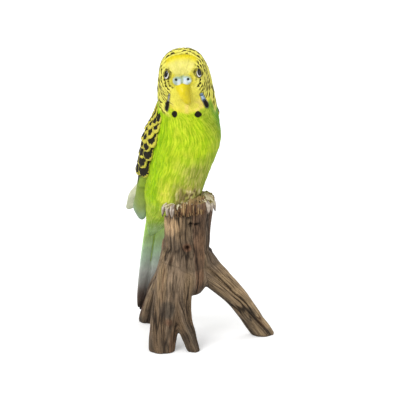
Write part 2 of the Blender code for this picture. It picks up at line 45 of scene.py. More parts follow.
# Sizes, in metres, as in the solid. The solid was centred over the origin by this shift.
SHIFT = np.array([-0.00998, -0.00512, 0.0])
STUMP_HEIGHT = 0.095
TRUNK_RADIUS = 0.0148
TRUNK_TOP_FLARE = 0.0018
TRUNK_TOP_SLOPE = 6.0
BIRD_HEIGHT = 0.1027
BODY_HALF_WIDTH = 0.0207
BODY_HALF_DEPTH = 0.0250
BIRD_OFFSET = 0.0002
HEAD_TURN = -3.0
HEAD_TILT = 5.0
BREAST_TURN = 30.0
RUMP_TURN = 32.0
LOWER_BODY_SHIFT = 0.0068
HEAD_SQUARENESS = 0.055
BEAK_LENGTH = 0.0148
BEAK_HALF_WIDTH = 0.0046
BEAK_DEPTH = 0.0080
CERE_RADIUS = 0.0034
EYE_PLACES = ((204.0, 1.48), (342.0, 1.66))
WING_THICKNESS = 0.0060
WING_ROOT_SINK = 0.0030
WING_STATIONS = (8.6, 13.6)
TAIL_FEATHER_WIDTH = 0.0078
TOE_RADIUS = 0.0016
TOE_LENGTH = 0.0135
TOE_SPACING = 0.0036
FOOT_BEARINGS = (-42.0, 60.0)
TRUNK_AXIS = ((-0.0010, 0.0, 0.0310, 0.0100), (-0.0006, 0.0, 0.0400, 0.0145), (0.0, 0.0, 0.0600, 0.0148),
              (0.0006, 0.0, 0.0780, 0.0152), (0.0011, 0.0, 0.0950, 0.0168))
ROOTS = (
    ((-0.0040, -0.0020, 0.0620, 0.0112), (-0.0088, -0.0090, 0.0420, 0.0112),
     (-0.0132, -0.0180, 0.0220, 0.0098), (-0.0155, -0.0255, 0.0060, 0.0088), (-0.0158, -0.0274, 0.0, 0.0086)),
    ((-0.0020, -0.0060, 0.0540, 0.0090), (-0.0050, -0.0145, 0.0330, 0.0084),
     (-0.0032, -0.0205, 0.0200, 0.0064), (0.0012, -0.0250, 0.0095, 0.0048), (0.0046, -0.0285, 0.0, 0.0040)),
    ((0.0020, 0.0, 0.0600, 0.0120), (0.0094, 0.0010, 0.0495, 0.0102), (0.0174, 0.0020, 0.0410, 0.0086),
     (0.0333, 0.0045, 0.0247, 0.0069), (0.0454, 0.0068, 0.0071, 0.0066), (0.0498, 0.0078, 0.0, 0.0065)),
    ((-0.0030, 0.0030, 0.0660, 0.0118), (-0.0093, 0.0130, 0.0417, 0.0100), (-0.0165, 0.0240, 0.0250, 0.0085),
     (-0.0228, 0.0340, 0.0070, 0.0073), (-0.0243, 0.0380, 0.0, 0.0073)),
)
KNOTS = ((0.0003, -0.0150, 0.0660, 0.0024), (-0.0122, -0.0275, 0.0187, 0.0024))
PITS = ((9.0, 0.0815), (24.0, 0.0815), (-72.0, 0.0850))

# Body profile, one row per station from the face to the vent: front and back point (forward, above the perch)
# and half-width, as shares of the three body sizes.
BODY_STATIONS = (
    (0.790, 0.838, 0.790, 0.838, 0.02),
    (0.784, 0.788, 0.744, 0.894, 0.36),
    (0.760, 0.745, 0.580, 0.947, 0.62),
    (0.744, 0.711, 0.360, 0.981, 0.72),
    (0.744, 0.683, 0.080, 0.997, 0.76),
    (0.760, 0.654, -0.240, 0.979, 0.78),
    (0.780, 0.625, -0.500, 0.923, 0.84),
    (0.812, 0.587, -0.660, 0.827, 0.90),
    (0.860, 0.543, -0.720, 0.712, 0.92),
    (0.920, 0.490, -0.760, 0.596, 0.95),
    (0.980, 0.418, -0.840, 0.471, 1.01),
    (0.980, 0.327, -0.920, 0.346, 1.00),
    (0.900, 0.221, -1.000, 0.221, 0.90),
    (0.800, 0.105, -1.060, 0.100, 0.82),
    (0.660, 0.015, -1.100, 0.000, 0.76),
    (0.300, -0.070, -1.120, -0.097, 0.62),
    (-0.380, -0.175, -1.180, -0.215, 0.42),
    (-1.290, -0.333, -1.330, -0.340, 0.03),
)

# Stations where the skin of head and body starts and ends, and how many points it has. Its feathers: how many
# scallops go round the head and the length of one in stations, then the same for the strokes below.
FIRST_STATION = 0.12
LAST_STATION = len(BODY_STATIONS) - 1.0
SKIN_ROWS, SKIN_COLUMNS = 330, 260
SCALLOP_COLUMNS, SCALLOP_LENGTH = 28, 0.54
STROKE_COLUMNS, STROKE_LENGTH = 100, 0.62

# Marks of the face, placed by (around, station). Cheek patches: first and last place, reach at the top,
# colour, share of pale flecks. All of them widen to the same reach.
CHEEK_PATCHES = (((131.5, 2.68), (145.5, 6.85), 0.00060, "8d8f9c", 0.0),
                 ((50.0, 3.44), (52.5, 6.00), 0.00155, "7c96b6", 0.8))
CHEEK_REACH = 0.00175
THROAT_SPOTS = ((129.0, 6.90), (81.0, 6.50))
THROAT_SPOT_RADIUS = 0.0024
EYE_SIZES = (0.0017, 0.0009, 0.0029)

# Wings, by hand: -1 is the right one. Colour and slant of the shell's lower end.
SHELL_ENDS = {-1: ("84a02a", 0.80), 1: ("8c9464", 0.22)}
# Long feathers: for the first and the last one the place across the wing where it starts, and its tip to the
# bird's left, forward and above the perch; then width, colours from base to tip, share of dark base of each.
WING_TIPS = {
    -1: (((0.30, -0.0072, -0.0322, -0.0214), (0.90, -0.0088, -0.0350, -0.0176)), 0.0080,
         ("4a6a22", "7b9828", "88a22e", "8aa040", "8ca05c", "8ca692"), (0.20, 0.24, 0.36, 0.50, 0.62)),
    1: (((0.35, -0.0110, -0.0440, -0.0165), (0.90, -0.0100, -0.0430, -0.0110)), 0.0066,
        ("1d190f", "3a3a20", "8c9464", "c4c79c", "d6d8b4", "c4c8aa"), (0.26, 0.28, 0.32, 0.36, 0.40)),
}
GREATER_COVERT_COLOURS = ("1d190d", "241f0c", "2c260f", "6a6128", "d9d272", "e3dd96")
# Tail colours from base to tip. The pale middle stops are also a painted highlight: lighter than the tail's
# paint, so that the tail still looks lit in the body's shade.
TAIL_COLOURS = ("b4d838", "b4d838", "b4dc40", "b6e052", "bfe68c", "bddcba", "c6cec6", "7a6f68", "4c4038")

# The stump's top and its rim, and what grows round it
TOP_SLOPE = math.tan(math.radians(TRUNK_TOP_SLOPE))
RIM_RADIUS = TRUNK_RADIUS + TRUNK_TOP_FLARE
FRINGE_COUNT = 460
SPLINTER_COUNT = 170

# Bark, in three layers of grooves: share of the depth, width and length of a cell, how narrow the grooves
# are. Then two slow streaks of colour: width and length of a cell.
FURROWS = ((0.34, 0.0085, 0.060, 2.0), (0.38, 0.0036, 0.042, 9.0), (0.28, 0.0019, 0.024, 5.0))
STREAKS = ((0.0048, 0.030), (0.0034, 0.036))
BARK_DEPTH = 0.0022
BARK_LEVEL = 0.75
LIMB_SECTIONS = 44
LIMB_SIDES = 44
BARK_VOXEL = 0.00056
SMOOTHING_ROUNDS = 14

# Stage: name, place, width and power of each lamp, then the camera
LAMPS = (("key", (-0.75, -1.0, 1.25), 0.7, 15.0), ("fill", (1.1, -0.9, 0.55), 0.9, 3.0),
         ("top", (0.1, 0.5, 1.4), 0.9, 6.0))
LAMP_AIM = (0.0, 0.0, 0.1)
CAMERA_AIM = (-0.00133, 0.0, 0.0923)
CAMERA_RISE = 17.0
CAMERA_DISTANCE = 12.0
CAMERA_LENS = 1660.0
WHITE = (1.0, 1.0, 1.0, 1.0)


# Numbers and noise
def eased(share):
    """0 to 1 with level ends."""
    share = np.clip(share, 0.0, 1.0)
    return share * share * (3.0 - 2.0 * share)


def bump(value, centre, width):
    """1 at the centre, easing to 0 at a distance of width."""
    return eased(1.0 - np.abs(value - centre) / width)


def turned_from(around, centre):
    """The signed angle in degrees from centre to around, -180 to 180."""
    return (around - centre + 180.0) % 360.0 - 180.0


def from_back(around):
    """Degrees from the middle of the back, 0 to 180."""
    return np.abs(turned_from(around, 270.0))


def from_breast(around):
    """Degrees from the middle of the breast, 0 to 180."""
    return np.abs(turned_from(around, 90.0))


def hashed(cells, seed):
    """A number from 0 to 1 for each triple of whole numbers: products with primes, mixed by shifts."""
    a, b, c = np.moveaxis(np.asarray(cells).astype(np.int64), -1, 0)
    number = (a * 73856093) ^ (b * 19349663) ^ (c * 83492791) ^ (seed * 374761393)
    number = ((number ^ (number >> 13)) * 1274126177) & 0xFFFFFFFF
    number = ((number ^ (number >> 15)) * 668265263) & 0xFFFFFFFF
    return ((number >> 8) & 0xFFFF) / 65535.0


def chances(count, kinds, seed):
    """Numbers from 0 to 1, in one row for each kind, with one number for each of count blades."""
    number = np.arange(count)
    cells = [np.stack([number, 0 * number + kind, 0 * number], axis=-1) for kind in range(kinds)]
    return np.stack([hashed(cell, seed) for cell in cells])


def noise(points, seed):
    """Value noise, 0 to 1: the numbers at the corners of each unit cell, blended with eased weights."""
    base = np.floor(points)
    share = eased(points - base)
    total = np.zeros(points.shape[:-1])
    for corner in np.ndindex(2, 2, 2):
        weight = np.prod(np.where(corner, share, 1.0 - share), axis=-1)
        total += weight * hashed(base + np.array(corner), seed)
    return total


def ridged(points, seed):
    """Noise folded at its middle, so that it runs in sharp crests."""
    return 1.0 - np.abs(2.0 * noise(points, seed) - 1.0)


def along_rows(rows, places):
    """A smooth curve through the rows, read at the given row numbers: between two rows a cubic whose slope at
    each of them is half the step from the row before it to the row after it."""
    rows = np.asarray(rows, float)
    places = np.clip(np.asarray(places, float), 0.0, len(rows) - 1.0)
    index = np.minimum(places.astype(int), len(rows) - 2)
    t = (places - index)[..., None]
    before, start = rows[np.maximum(index - 1, 0)], rows[index]
    end, after = rows[index + 1], rows[np.minimum(index + 2, len(rows) - 1)]
    cubic = 3 * (start - end) + after - before
    square = 2 * before - 5 * start + 4 * end - after
    return start + 0.5 * t * (end - before + t * (square + t * cubic))


def unit(vectors):
    """The vectors, each divided by its length."""
    return vectors / np.maximum(np.linalg.norm(vectors, axis=-1, keepdims=True), 1e-12)


# Paint, one colour for each point
def colour(code):
    """Linear red, green, blue of a six-figure code."""
    parts = np.array([int(code[i:i + 2], 16) for i in (0, 2, 4)]) / 255.0
    return np.where(parts < 0.04045, parts / 12.92, ((parts + 0.055) / 1.055) ** 2.4)


def coats(paint, *layers):
    """Colours covered with one coat after another: paint + (colour - paint) * mask for each layer, which is a
    colour's code and a mask."""
    for code, mask in layers:
        paint = paint + (colour(code) - paint) * np.clip(mask, 0.0, 1.0)[..., None]
    return paint


def coated(points, code, *layers):
    """One colour at each of the points, then the coats over it."""
    return coats(np.zeros(points.shape) + colour(code), *layers)


# The bird's form
def in_room(side, forward, height):
    """A point of the bird (to its left, forward, above the floor): tilted about the view axis near the head,
    turned about the upright and shifted sideways, each by an angle or length that eases with its height."""
    above = (height - STUMP_HEIGHT) / BIRD_HEIGHT
    tilt = np.radians(HEAD_TILT) * eased((above - 0.45) / 0.3)
    rise = height - STUMP_HEIGHT - 0.60 * BIRD_HEIGHT
    across = side * np.cos(tilt) - rise * np.sin(tilt)
    up = STUMP_HEIGHT + 0.60 * BIRD_HEIGHT + side * np.sin(tilt) + rise * np.cos(tilt)
    lower = RUMP_TURN + (BREAST_TURN - RUMP_TURN) * eased((above + 0.1) / 0.5)
    turn = np.radians(lower + (HEAD_TURN - lower) * eased((above - 0.40) / 0.42))
    shift = BIRD_OFFSET - LOWER_BODY_SHIFT * (1.0 - eased(above / 0.5))
    x = shift + across * np.cos(turn) + forward * np.sin(turn)
    y = across * np.sin(turn) - forward * np.cos(turn)
    return np.stack(np.broadcast_arrays(x, y, up), axis=-1)


def body_point(around, station, lift=0.0):
    """Skin of head and body: at each station an ellipse between the front and the back point of the profile,
    raised by lift. around is 0 at the bird's left, 90 at the breast, 180 at its right, 270 at the back."""
    rows = along_rows(BODY_STATIONS, station)
    scale = np.array([BODY_HALF_DEPTH, BIRD_HEIGHT])
    perch = np.array([0.0, STUMP_HEIGHT])
    front, back = rows[..., 0:2] * scale + perch, rows[..., 2:4] * scale + perch
    middle, reach = (front + back) / 2, (front - back) / 2
    length = np.linalg.norm(reach, axis=-1)
    angle = np.radians(around)
    square = 1.0 + HEAD_SQUARENESS * np.sin(2 * angle) ** 2 * eased((8.0 - np.asarray(station)) / 2.0)
    grow = square * (length + lift) / np.maximum(length, 1e-9)
    side = square * (rows[..., 4] * BODY_HALF_WIDTH + lift) * np.cos(angle)
    plane = middle + reach * (grow * np.sin(angle))[..., None]
    return in_room(side, plane[..., 0], plane[..., 1])


def skin_place(place):
    """The point of the skin at (around, station)."""
    return body_point(np.array(place[0]), np.array(place[1]))


def body_middle(station):
    """The middle of the body's section at each station."""
    station = np.asarray(station, float)
    return (body_point(90.0 + 0 * station, station) + body_point(270.0 + 0 * station, station)) / 2


def body_normal(around, station):
    """Outward direction of the body's skin, from two small steps over it."""
    here = body_point(around, station)
    normal = np.cross(body_point(around + 0.5, station) - here, body_point(around, station + 0.02) - here)
    outward = here - body_middle(station)
    return unit(normal) * np.sign((normal * outward).sum(axis=-1))[..., None]


def wing_station(along):
    """The body's station beside a place along the wing."""
    first, last = WING_STATIONS
    return first + (last - first) * along


def wing_place(hand, along, across):
    """A point of a folded wing's outer skin: a strip of the body's skin raised by a cushion-shaped bulge.
    hand is -1 for the right wing; along is 0 at the shoulder, across is 0 at the front edge."""
    along, across = np.asarray(along, float), np.asarray(across, float)
    front_edge, back_edge = 5.0 - 43.0 * along, 62.0 + 14.0 * along
    from_side = -front_edge + (back_edge + front_edge) * across
    around = 180.0 + from_side if hand < 0 else -from_side
    bulge = np.sin(math.pi * (0.10 + 0.80 * across)) * (0.25 + 0.75 * eased(along / 0.4))
    return body_point(around, wing_station(along), WING_THICKNESS * bulge)


def side_of(hand):
    """The side's name in the names of a wing's pieces."""
    return "right" if hand < 0 else "left"


# Meshes
def mesh_of(name, points, corners, counts, material, fields):
    """One piece of the figurine from arrays: points, the corners of its faces in a row, and how many corners
    each face has."""
    mesh = bpy.data.meshes.new(name)
    mesh.vertices.add(len(points))
    mesh.vertices.foreach_set("co", (points + SHIFT).astype(np.float32).ravel())
    mesh.loops.add(len(corners))
    mesh.loops.foreach_set("vertex_index", corners.astype(np.int32))
    mesh.polygons.add(len(counts))
    mesh.polygons.foreach_set("loop_start", (np.cumsum(counts) - counts).astype(np.int32))
    mesh.update(calc_edges=True)
    for key, values in fields.items():
        if values.ndim == 2:
            layer = mesh.attributes.new(key, "FLOAT_COLOR", "POINT")
            full = np.concatenate([values, np.ones((len(values), 1))], axis=1)
            layer.data.foreach_set("color", full.astype(np.float32).ravel())
        else:
            layer = mesh.attributes.new(key, "FLOAT", "POINT")
            layer.data.foreach_set("value", values.astype(np.float32))
    mesh.shade_smooth()
    mesh.materials.append(material)
    obj = bpy.data.objects.new(name, mesh)
    bpy.context.scene.collection.objects.link(obj)
    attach(obj, "root")
    return obj


def ring_quads(index):
    """The faces between neighbouring rows of point numbers (rows and sides last), each row running round."""
    across = np.roll(index, -1, axis=-1)
    corners = (index[..., :-1, :], across[..., :-1, :], across[..., 1:, :], index[..., 1:, :])
    return np.stack(corners, axis=-1).reshape(-1, 4)


def turned_inwards(points, quads, inside):
    """Whether most faces look towards the inside."""
    a, b, c = (points[quads[:, i]] for i in range(3))
    return ((a - inside) * np.cross(b - a, c - a)).sum() < 0


def surface(name, rings, material, slot="painted_resin", **fields):
    """A closed skin over rings of points (pieces, rows, sides, 3), with a fan of triangles over each end."""
    rings = np.asarray(rings, float)
    if rings.ndim == 3:
        rings = rings[None]
        fields = {key: value[None] for key, value in fields.items()}
    pieces, rows, sides, _ = rings.shape
    size = pieces * rows * sides

    def with_ends(values):
        values = np.broadcast_to(values, (pieces, rows, sides, *values.shape[3:]))
        ends = np.stack([values[:, 0].mean(axis=1), values[:, -1].mean(axis=1)], axis=1)
        tail = values.shape[3:]
        return np.concatenate([values.reshape(size, *tail), ends.reshape(2 * pieces, *tail)])

    points = with_ends(rings)
    index = np.arange(size).reshape(pieces, rows, sides)
    across = np.roll(index, -1, axis=2)
    quads = ring_quads(index)
    first = size + 2 * np.arange(pieces)[:, None] + np.zeros((1, sides), int)
    low = np.stack([first, across[:, 0], index[:, 0]], axis=-1).reshape(-1, 3)
    high = np.stack([first + 1, index[:, -1], across[:, -1]], axis=-1).reshape(-1, 3)
    triangles = np.concatenate([low, high])
    if turned_inwards(points, quads, points.mean(axis=0)):
        quads, triangles = quads[:, ::-1], triangles[:, ::-1]
    corners = np.concatenate([quads.ravel(), triangles.ravel()])
    counts = np.concatenate([np.full(len(quads), 4), np.full(len(triangles), 3)])
    values = {key: with_ends(np.asarray(value, float)) for key, value in fields.items()}
    return mesh_of(name, points, corners, counts, material, values)


def closed_ring(name, rings, material, paint):
    """A torus-like skin: rings of points whose last ring joins the first."""
    rows, sides, _ = rings.shape
    index = np.arange(rows * sides).reshape(rows, sides)
    quads = ring_quads(np.concatenate([index, index[:1]]))
    points = rings.reshape(-1, 3)
    if turned_inwards(points, quads, np.repeat(rings.mean(axis=1), sides, axis=0)):
        quads = quads[:, ::-1]
    values = {"paint": paint.reshape(-1, 3)}
    mesh_of(name, points, quads.ravel(), np.full(len(quads), 4), material, values)


def blades(base, tip, outward, width, thickness, widest, dome, rows=9, sides=8):
    """Feathers as flattened tubes: a lens-shaped section, arched across, carried from base to tip while its
    width grows to the widest place and closes in an ellipse. Returns rings, share along and share across."""
    base, tip, outward = (np.atleast_2d(v) for v in (base, tip, outward))
    width, thickness = (np.broadcast_to(v, len(base))[:, None, None] for v in (width, thickness))
    along = 1.0 - (1.0 - np.linspace(0.0, 1.0, rows)) ** 1.5
    closing = np.clip((along - widest) / (1.0 - widest), 0.0, 1.0)
    outline = (0.50 + 0.50 * eased(along / widest)) * np.sqrt(np.maximum(1.0 - closing ** 2.0, 0.0)) + 0.012
    angle = 2 * math.pi * np.arange(sides) / sides
    run = tip - base
    length = np.linalg.norm(run, axis=-1)[:, None, None]
    x_axis = unit(run)
    y_axis = unit(np.cross(outward, x_axis))
    z_axis = np.cross(x_axis, y_axis)
    half = width / 2 * outline[None, :, None]
    across = np.cos(angle)[None, None, :] + 0 * half
    rise = thickness / 2 * np.sin(angle) * np.minimum(1.0, outline[None, :, None] * 1.6)
    rise = rise + dome * half * (1.0 - across ** 2)
    place = base[:, None, None] + x_axis[:, None, None] * (length * along[None, :, None])[..., None]
    place = place + y_axis[:, None, None] * (half * across)[..., None]
    rings = place + z_axis[:, None, None] * rise[..., None]
    return rings, along[None, :, None] + 0 * across, across


def ball(centre, axes, sizes, rows, sides):
    """An ellipsoid as rings from pole to pole of its last axis. axes are three unit vectors."""
    polar = np.linspace(0.06, math.pi - 0.06, rows)[:, None, None]
    angle = (2 * math.pi * np.arange(sides) / sides)[None, :, None]
    x, y, z = (np.asarray(axis, float) * size for axis, size in zip(axes, sizes))
    return centre + x * np.sin(polar) * np.cos(angle) + y * np.sin(polar) * np.sin(angle) + z * np.cos(polar)


def tube(path, radius, sides, up):
    """Round sections carried along a path (points, 3), with a radius at each point."""
    path = np.asarray(path, float)
    forward = unit(np.gradient(path, axis=0))
    beside = unit(np.cross(forward, np.asarray(up, float)))
    over = np.cross(beside, forward)
    angle = 2 * math.pi * np.arange(sides) / sides
    spoke = beside[:, None] * np.cos(angle)[None, :, None] + over[:, None] * np.sin(angle)[None, :, None]
    return path[:, None] + spoke * np.asarray(radius, float)[:, None, None]


def shingles(along, across, count, long, wide, seed):
    """Overlapping feathers in staggered rows, one unit apart along and across. For each place, the feather on
    top: its height (0 at its base to 1 at its tip), the share along it, the share across it, its number."""
    shape = along.shape
    height, a_top, b_top, number = np.zeros(shape), np.zeros(shape), np.zeros(shape), np.zeros(shape)
    for back in range(3):
        row = np.floor(along) - back
        offset = 0.5 * (row % 2)
        for beside in (-1.0, 0.0, 1.0):
            centre = np.round(across - offset) + beside + offset
            cell = np.stack([row, (2 * centre) % (2 * count), 0 * row], axis=-1)
            chance = hashed(cell, seed)
            shifted = 0.30 * (chance - 0.5)
            a = (along - row - shifted) / long
            b = (across - centre - 0.25 * shifted) / wide
            limit = np.sqrt(np.clip(1.0 - np.clip((a - 0.45) / 0.55, 0.0, 1.0) ** 2, 0.0, 1.0))
            rise = a * (1.0 - 0.30 * b * b)
            top = (np.abs(b) < limit) & (a > 0.0) & (rise > height)
            height, a_top = np.where(top, rise, height), np.where(top, a, a_top)
            b_top, number = np.where(top, b, b_top), np.where(top, chance, number)
    return height, a_top, b_top, number


# Materials
def set_inputs(tree, made, inputs):
    """A node's inputs set to values, or joined to other nodes' outputs."""
    for socket, value in inputs.items():
        if isinstance(value, bpy.types.NodeSocket):
            tree.links.new(value, made.inputs[socket])
        else:
            made.inputs[socket].default_value = value


def node(tree, kind, inputs=(), **settings):
    """A shader node with its settings and inputs."""
    made = tree.nodes.new(kind)
    for key, value in settings.items():
        setattr(made, key, value)
    set_inputs(tree, made, dict(inputs))
    return made


def mixed(tree, factor, first, second, blend="MIX"):
    """The colour second over first, by factor."""
    inputs = {0: factor, 6: first, 7: second}
    return node(tree, "ShaderNodeMix", inputs, data_type="RGBA", blend_type=blend).outputs[2]


def maths(tree, operation, *values):
    """The result of a Math node."""
    return node(tree, "ShaderNodeMath", dict(enumerate(values)), operation=operation).outputs[0]


def plus(tree, first, second, share):
    """first and a share of second."""
    return maths(tree, "ADD", first, maths(tree, "MULTIPLY", second, share))


def grey(tree, level):
    """A colour with the same level in its three parts."""
    return node(tree, "ShaderNodeCombineColor", {0: level, 1: level, 2: level}).outputs[0]


def ramp(tree, value, low, high, to_low=0.0, to_high=1.0):
    """value carried from low..high to to_low..to_high with eased ends."""
    inputs = {"Value": value, "From Min": low, "From Max": high, "To Min": to_low, "To Max": to_high}
    return node(tree, "ShaderNodeMapRange", inputs, interpolation_type="SMOOTHSTEP").outputs[0]


def speckle(tree, scale, detail=2.0, vector=None):
    """Noise over object space, or over the given vector."""
    vector = vector or node(tree, "ShaderNodeTexCoord").outputs["Object"]
    inputs = {"Vector": vector, "Scale": scale, "Detail": detail}
    return node(tree, "ShaderNodeTexNoise", inputs).outputs["Fac"]


def value_of(tree, name, output="Fac"):
    """What the piece's attribute of that name holds."""
    return node(tree, "ShaderNodeAttribute", attribute_name=name).outputs[output]


def new_group(name, inputs, outputs):
    """An empty node group with its sockets, and its two end nodes."""
    tree = bpy.data.node_groups.new(name, "ShaderNodeTree")
    for in_out, sockets in (("INPUT", inputs), ("OUTPUT", outputs)):
        for label, kind in sockets.items():
            tree.interface.new_socket(label, in_out=in_out, socket_type=kind)
    return tree, tree.nodes.new("NodeGroupInput"), tree.nodes.new("NodeGroupOutput")


FLOAT, COLOR = "NodeSocketFloat", "NodeSocketColor"


def brushwork_group():
    """Hand-painted finish: blotches and grain in the colour, a dark wash held in the low places of the
    carving and a paler dry-brushed layer on its crests; also roughness and a fine grain for the bump."""
    tree, given, made = new_group(
        "brushwork",
        {"Paint": COLOR, "Relief": FLOAT, "Wash": FLOAT, "Wash Color": COLOR, "Crest": FLOAT, "Grain": FLOAT},
        {"Color": COLOR, "Roughness": FLOAT, "Height": FLOAT},
    )
    paint, relief, wash, dirt, crest, grain = given.outputs[:6]
    blotch = speckle(tree, 170.0, 3.0)
    fine = speckle(tree, 1500.0, 2.0)
    low = ramp(tree, plus(tree, relief, blotch, 0.25), 0.10, 0.62, 1.0, 0.0)
    high = ramp(tree, plus(tree, relief, fine, 0.25), 0.72, 1.10)
    toned = mixed(tree, 1.0, paint, grey(tree, ramp(tree, blotch, 0.30, 0.70, 0.86, 1.10)), "MULTIPLY")
    shaded = mixed(tree, maths(tree, "MULTIPLY", low, wash), toned, dirt, "MULTIPLY")
    brushed = mixed(tree, maths(tree, "MULTIPLY", high, crest), shaded, (1.0, 0.97, 0.86, 1.0), "SOFT_LIGHT")
    grained = maths(tree, "MULTIPLY", ramp(tree, fine, 0.25, 0.75), grain)
    set_inputs(tree, made, {
        "Color": mixed(tree, grained, brushed, (0.55, 0.52, 0.45, 1.0), "MULTIPLY"),
        "Roughness": ramp(tree, fine, 0.2, 0.8, 0.50, 0.72),
        "Height": plus(tree, fine, blotch, 0.6),
    })


def feather_group():
    """Marks of one feather from the shares along and across it: a centre colour, a paler rim that is widest
    at the tip, a fine shaft line, and slanting barbs for the bump."""
    tree, given, made = new_group(
        "feather_marks",
        {"Along": FLOAT, "Across": FLOAT, "Seed": FLOAT, "Centre": COLOR, "Rim": COLOR, "Rim Width": FLOAT},
        {"Color": COLOR, "Barbs": FLOAT},
    )
    along, across, seed, centre, rim, width = given.outputs[:6]
    aside = maths(tree, "ABSOLUTE", across)
    ragged = maths(tree, "MULTIPLY", maths(tree, "SUBTRACT", speckle(tree, 620.0, 4.0), 0.5), 1.1)
    to_tip = maths(tree, "MULTIPLY", maths(tree, "SUBTRACT", along, 0.62), 2.6)
    to_tip = maths(tree, "POWER", maths(tree, "MAXIMUM", to_tip, 0.0), 2.0)
    to_side = maths(tree, "POWER", maths(tree, "POWER", aside, 1.3), 2.0)
    reach = maths(tree, "SQRT", maths(tree, "ADD", to_side, to_tip))
    reach = plus(tree, maths(tree, "ADD", reach, ragged), seed, 0.22)
    past_edge = maths(tree, "SUBTRACT", reach, maths(tree, "SUBTRACT", 1.0, width))
    body = mixed(tree, ramp(tree, past_edge, -0.08, 0.10), centre, rim)
    shaft = ramp(tree, aside, 0.0, 0.09, 0.45, 0.0)
    slant = plus(tree, maths(tree, "MULTIPLY", along, 16.0), aside, -4.0)
    set_inputs(tree, made, {
        "Color": mixed(tree, shaft, body, (0.010, 0.009, 0.004, 1.0)),
        "Barbs": maths(tree, "PINGPONG", slant, 0.5),
    })


def attribute_paint(tree):
    """The painted colour as it is."""
    return value_of(tree, "paint", "Color"), None


def stroke_paint(tree):
    """The painted colour, with hair-fine strokes that follow the plumage."""
    hair = speckle(tree, 1.0, 3.0, value_of(tree, "flow", "Vector"))
    pale = ramp(tree, hair, 0.38, 0.62)
    tone = mixed(tree, pale, (0.62, 0.76, 0.30, 1.0), (1.12, 1.06, 1.30, 1.0))
    return mixed(tree, value_of(tree, "hairy"), value_of(tree, "paint", "Color"), tone, "MULTIPLY"), hair


def feather_marks(tree, inputs=()):
    """The group of one feather's marks, fed with the feather's own shares and seed."""
    inputs = {**{key: value_of(tree, key.lower()) for key in ("Along", "Across", "Seed")}, **dict(inputs)}
    return node(tree, "ShaderNodeGroup", inputs, node_tree=bpy.data.node_groups["feather_marks"])


def covert_paint(tree):
    """Nearly black, with a yellow rim."""
    colours = {"Centre": (*colour("1e190a"), 1.0), "Rim": (*colour("d6cd4c"), 1.0), "Rim Width": 0.44}
    marks = feather_marks(tree, colours)
    return marks.outputs["Color"], marks.outputs["Barbs"]


def vane_paint(tree):
    """The painted colour of a long feather, with its barbs."""
    barbs = feather_marks(tree).outputs["Barbs"]
    shade = grey(tree, ramp(tree, barbs, 0.0, 0.5, 0.86, 1.08))
    return mixed(tree, 0.7, value_of(tree, "paint", "Color"), shade, "MULTIPLY"), barbs


def bark_paint(tree):
    """The painted colour, streaked along the fibres."""
    fibres = speckle(tree, 1.0, 4.0, value_of(tree, "fibre", "Vector"))
    shade = grey(tree, ramp(tree, fibres, 0.37, 0.61, 0.50, 1.34))
    clear = maths(tree, "MULTIPLY", value_of(tree, "clear"), 0.85)
    return mixed(tree, clear, value_of(tree, "paint", "Color"), shade, "MULTIPLY"), fibres


def painted(name, paint=attribute_paint, wash=0.5, crest=0.3, grain=0.25, relief=0.7, depth=0.00012, coat=0.0,
            roughness=None, dirt=(0.16, 0.12, 0.06), specular=0.2):
    """A Principled material over the brushwork group. paint(tree) gives the paint's colour and, if it has
    one, the height of its own pattern. relief is a number, or the name of the attribute that holds it."""
    material = bpy.data.materials.new(name)
    material.use_nodes = True
    tree = material.node_tree
    paint_colour, pattern = paint(tree)
    carving = value_of(tree, relief) if isinstance(relief, str) else relief
    inputs = {"Paint": paint_colour, "Relief": carving, "Wash": wash, "Wash Color": (*dirt, 1.0),
              "Crest": crest, "Grain": grain}
    work = node(tree, "ShaderNodeGroup", inputs, node_tree=bpy.data.node_groups["brushwork"])
    height = work.outputs["Height"]
    if pattern is not None:
        height = plus(tree, height, pattern, 2.0)
    bumped = node(tree, "ShaderNodeBump", {"Height": height, "Distance": depth, "Strength": 1.0})
    set_inputs(tree, tree.nodes["Principled BSDF"], {
        "Base Color": work.outputs["Color"],
        "Roughness": work.outputs["Roughness"] if roughness is None else roughness,
        "Normal": bumped.outputs[0],
        "Specular IOR Level": specular,
        "Coat Weight": coat,
        "Coat Roughness": 0.15,
    })
    return material


# Body and head
def body_grid():
    """Stations and angles of the skin's points: the angles are a full turn plus a share of its sine, so that
    they lie closer together over the breast, which the wings leave bare."""
    station = np.linspace(FIRST_STATION, LAST_STATION, SKIN_ROWS)
    turn = np.linspace(0.0, 1.0, SKIN_COLUMNS + 1)[:-1]
    around = 360.0 * turn + 26.0 * np.sin(2 * math.pi * (turn - 0.75))
    return np.broadcast_arrays(around[None, :] % 360.0, station[:, None])


def near_segment(points, start, end):
    """Distance from a segment, and the share along it."""
    run = end - start
    share = np.clip(((points - start) * run).sum(axis=-1) / (run * run).sum(), 0.0, 1.0)
    return np.linalg.norm(points - start - share[..., None] * run, axis=-1), share


def fan(around, station):
    """The angle a stroke of plumage started at: strokes spread from the breast as they run down."""
    aside = turned_from(around, 112.0)
    spread = 0.13 * np.maximum(station - 7.5, 0.0)
    return aside * (1.0 - spread / (1.0 + spread) * (1.0 - (aside / 180.0) ** 2))


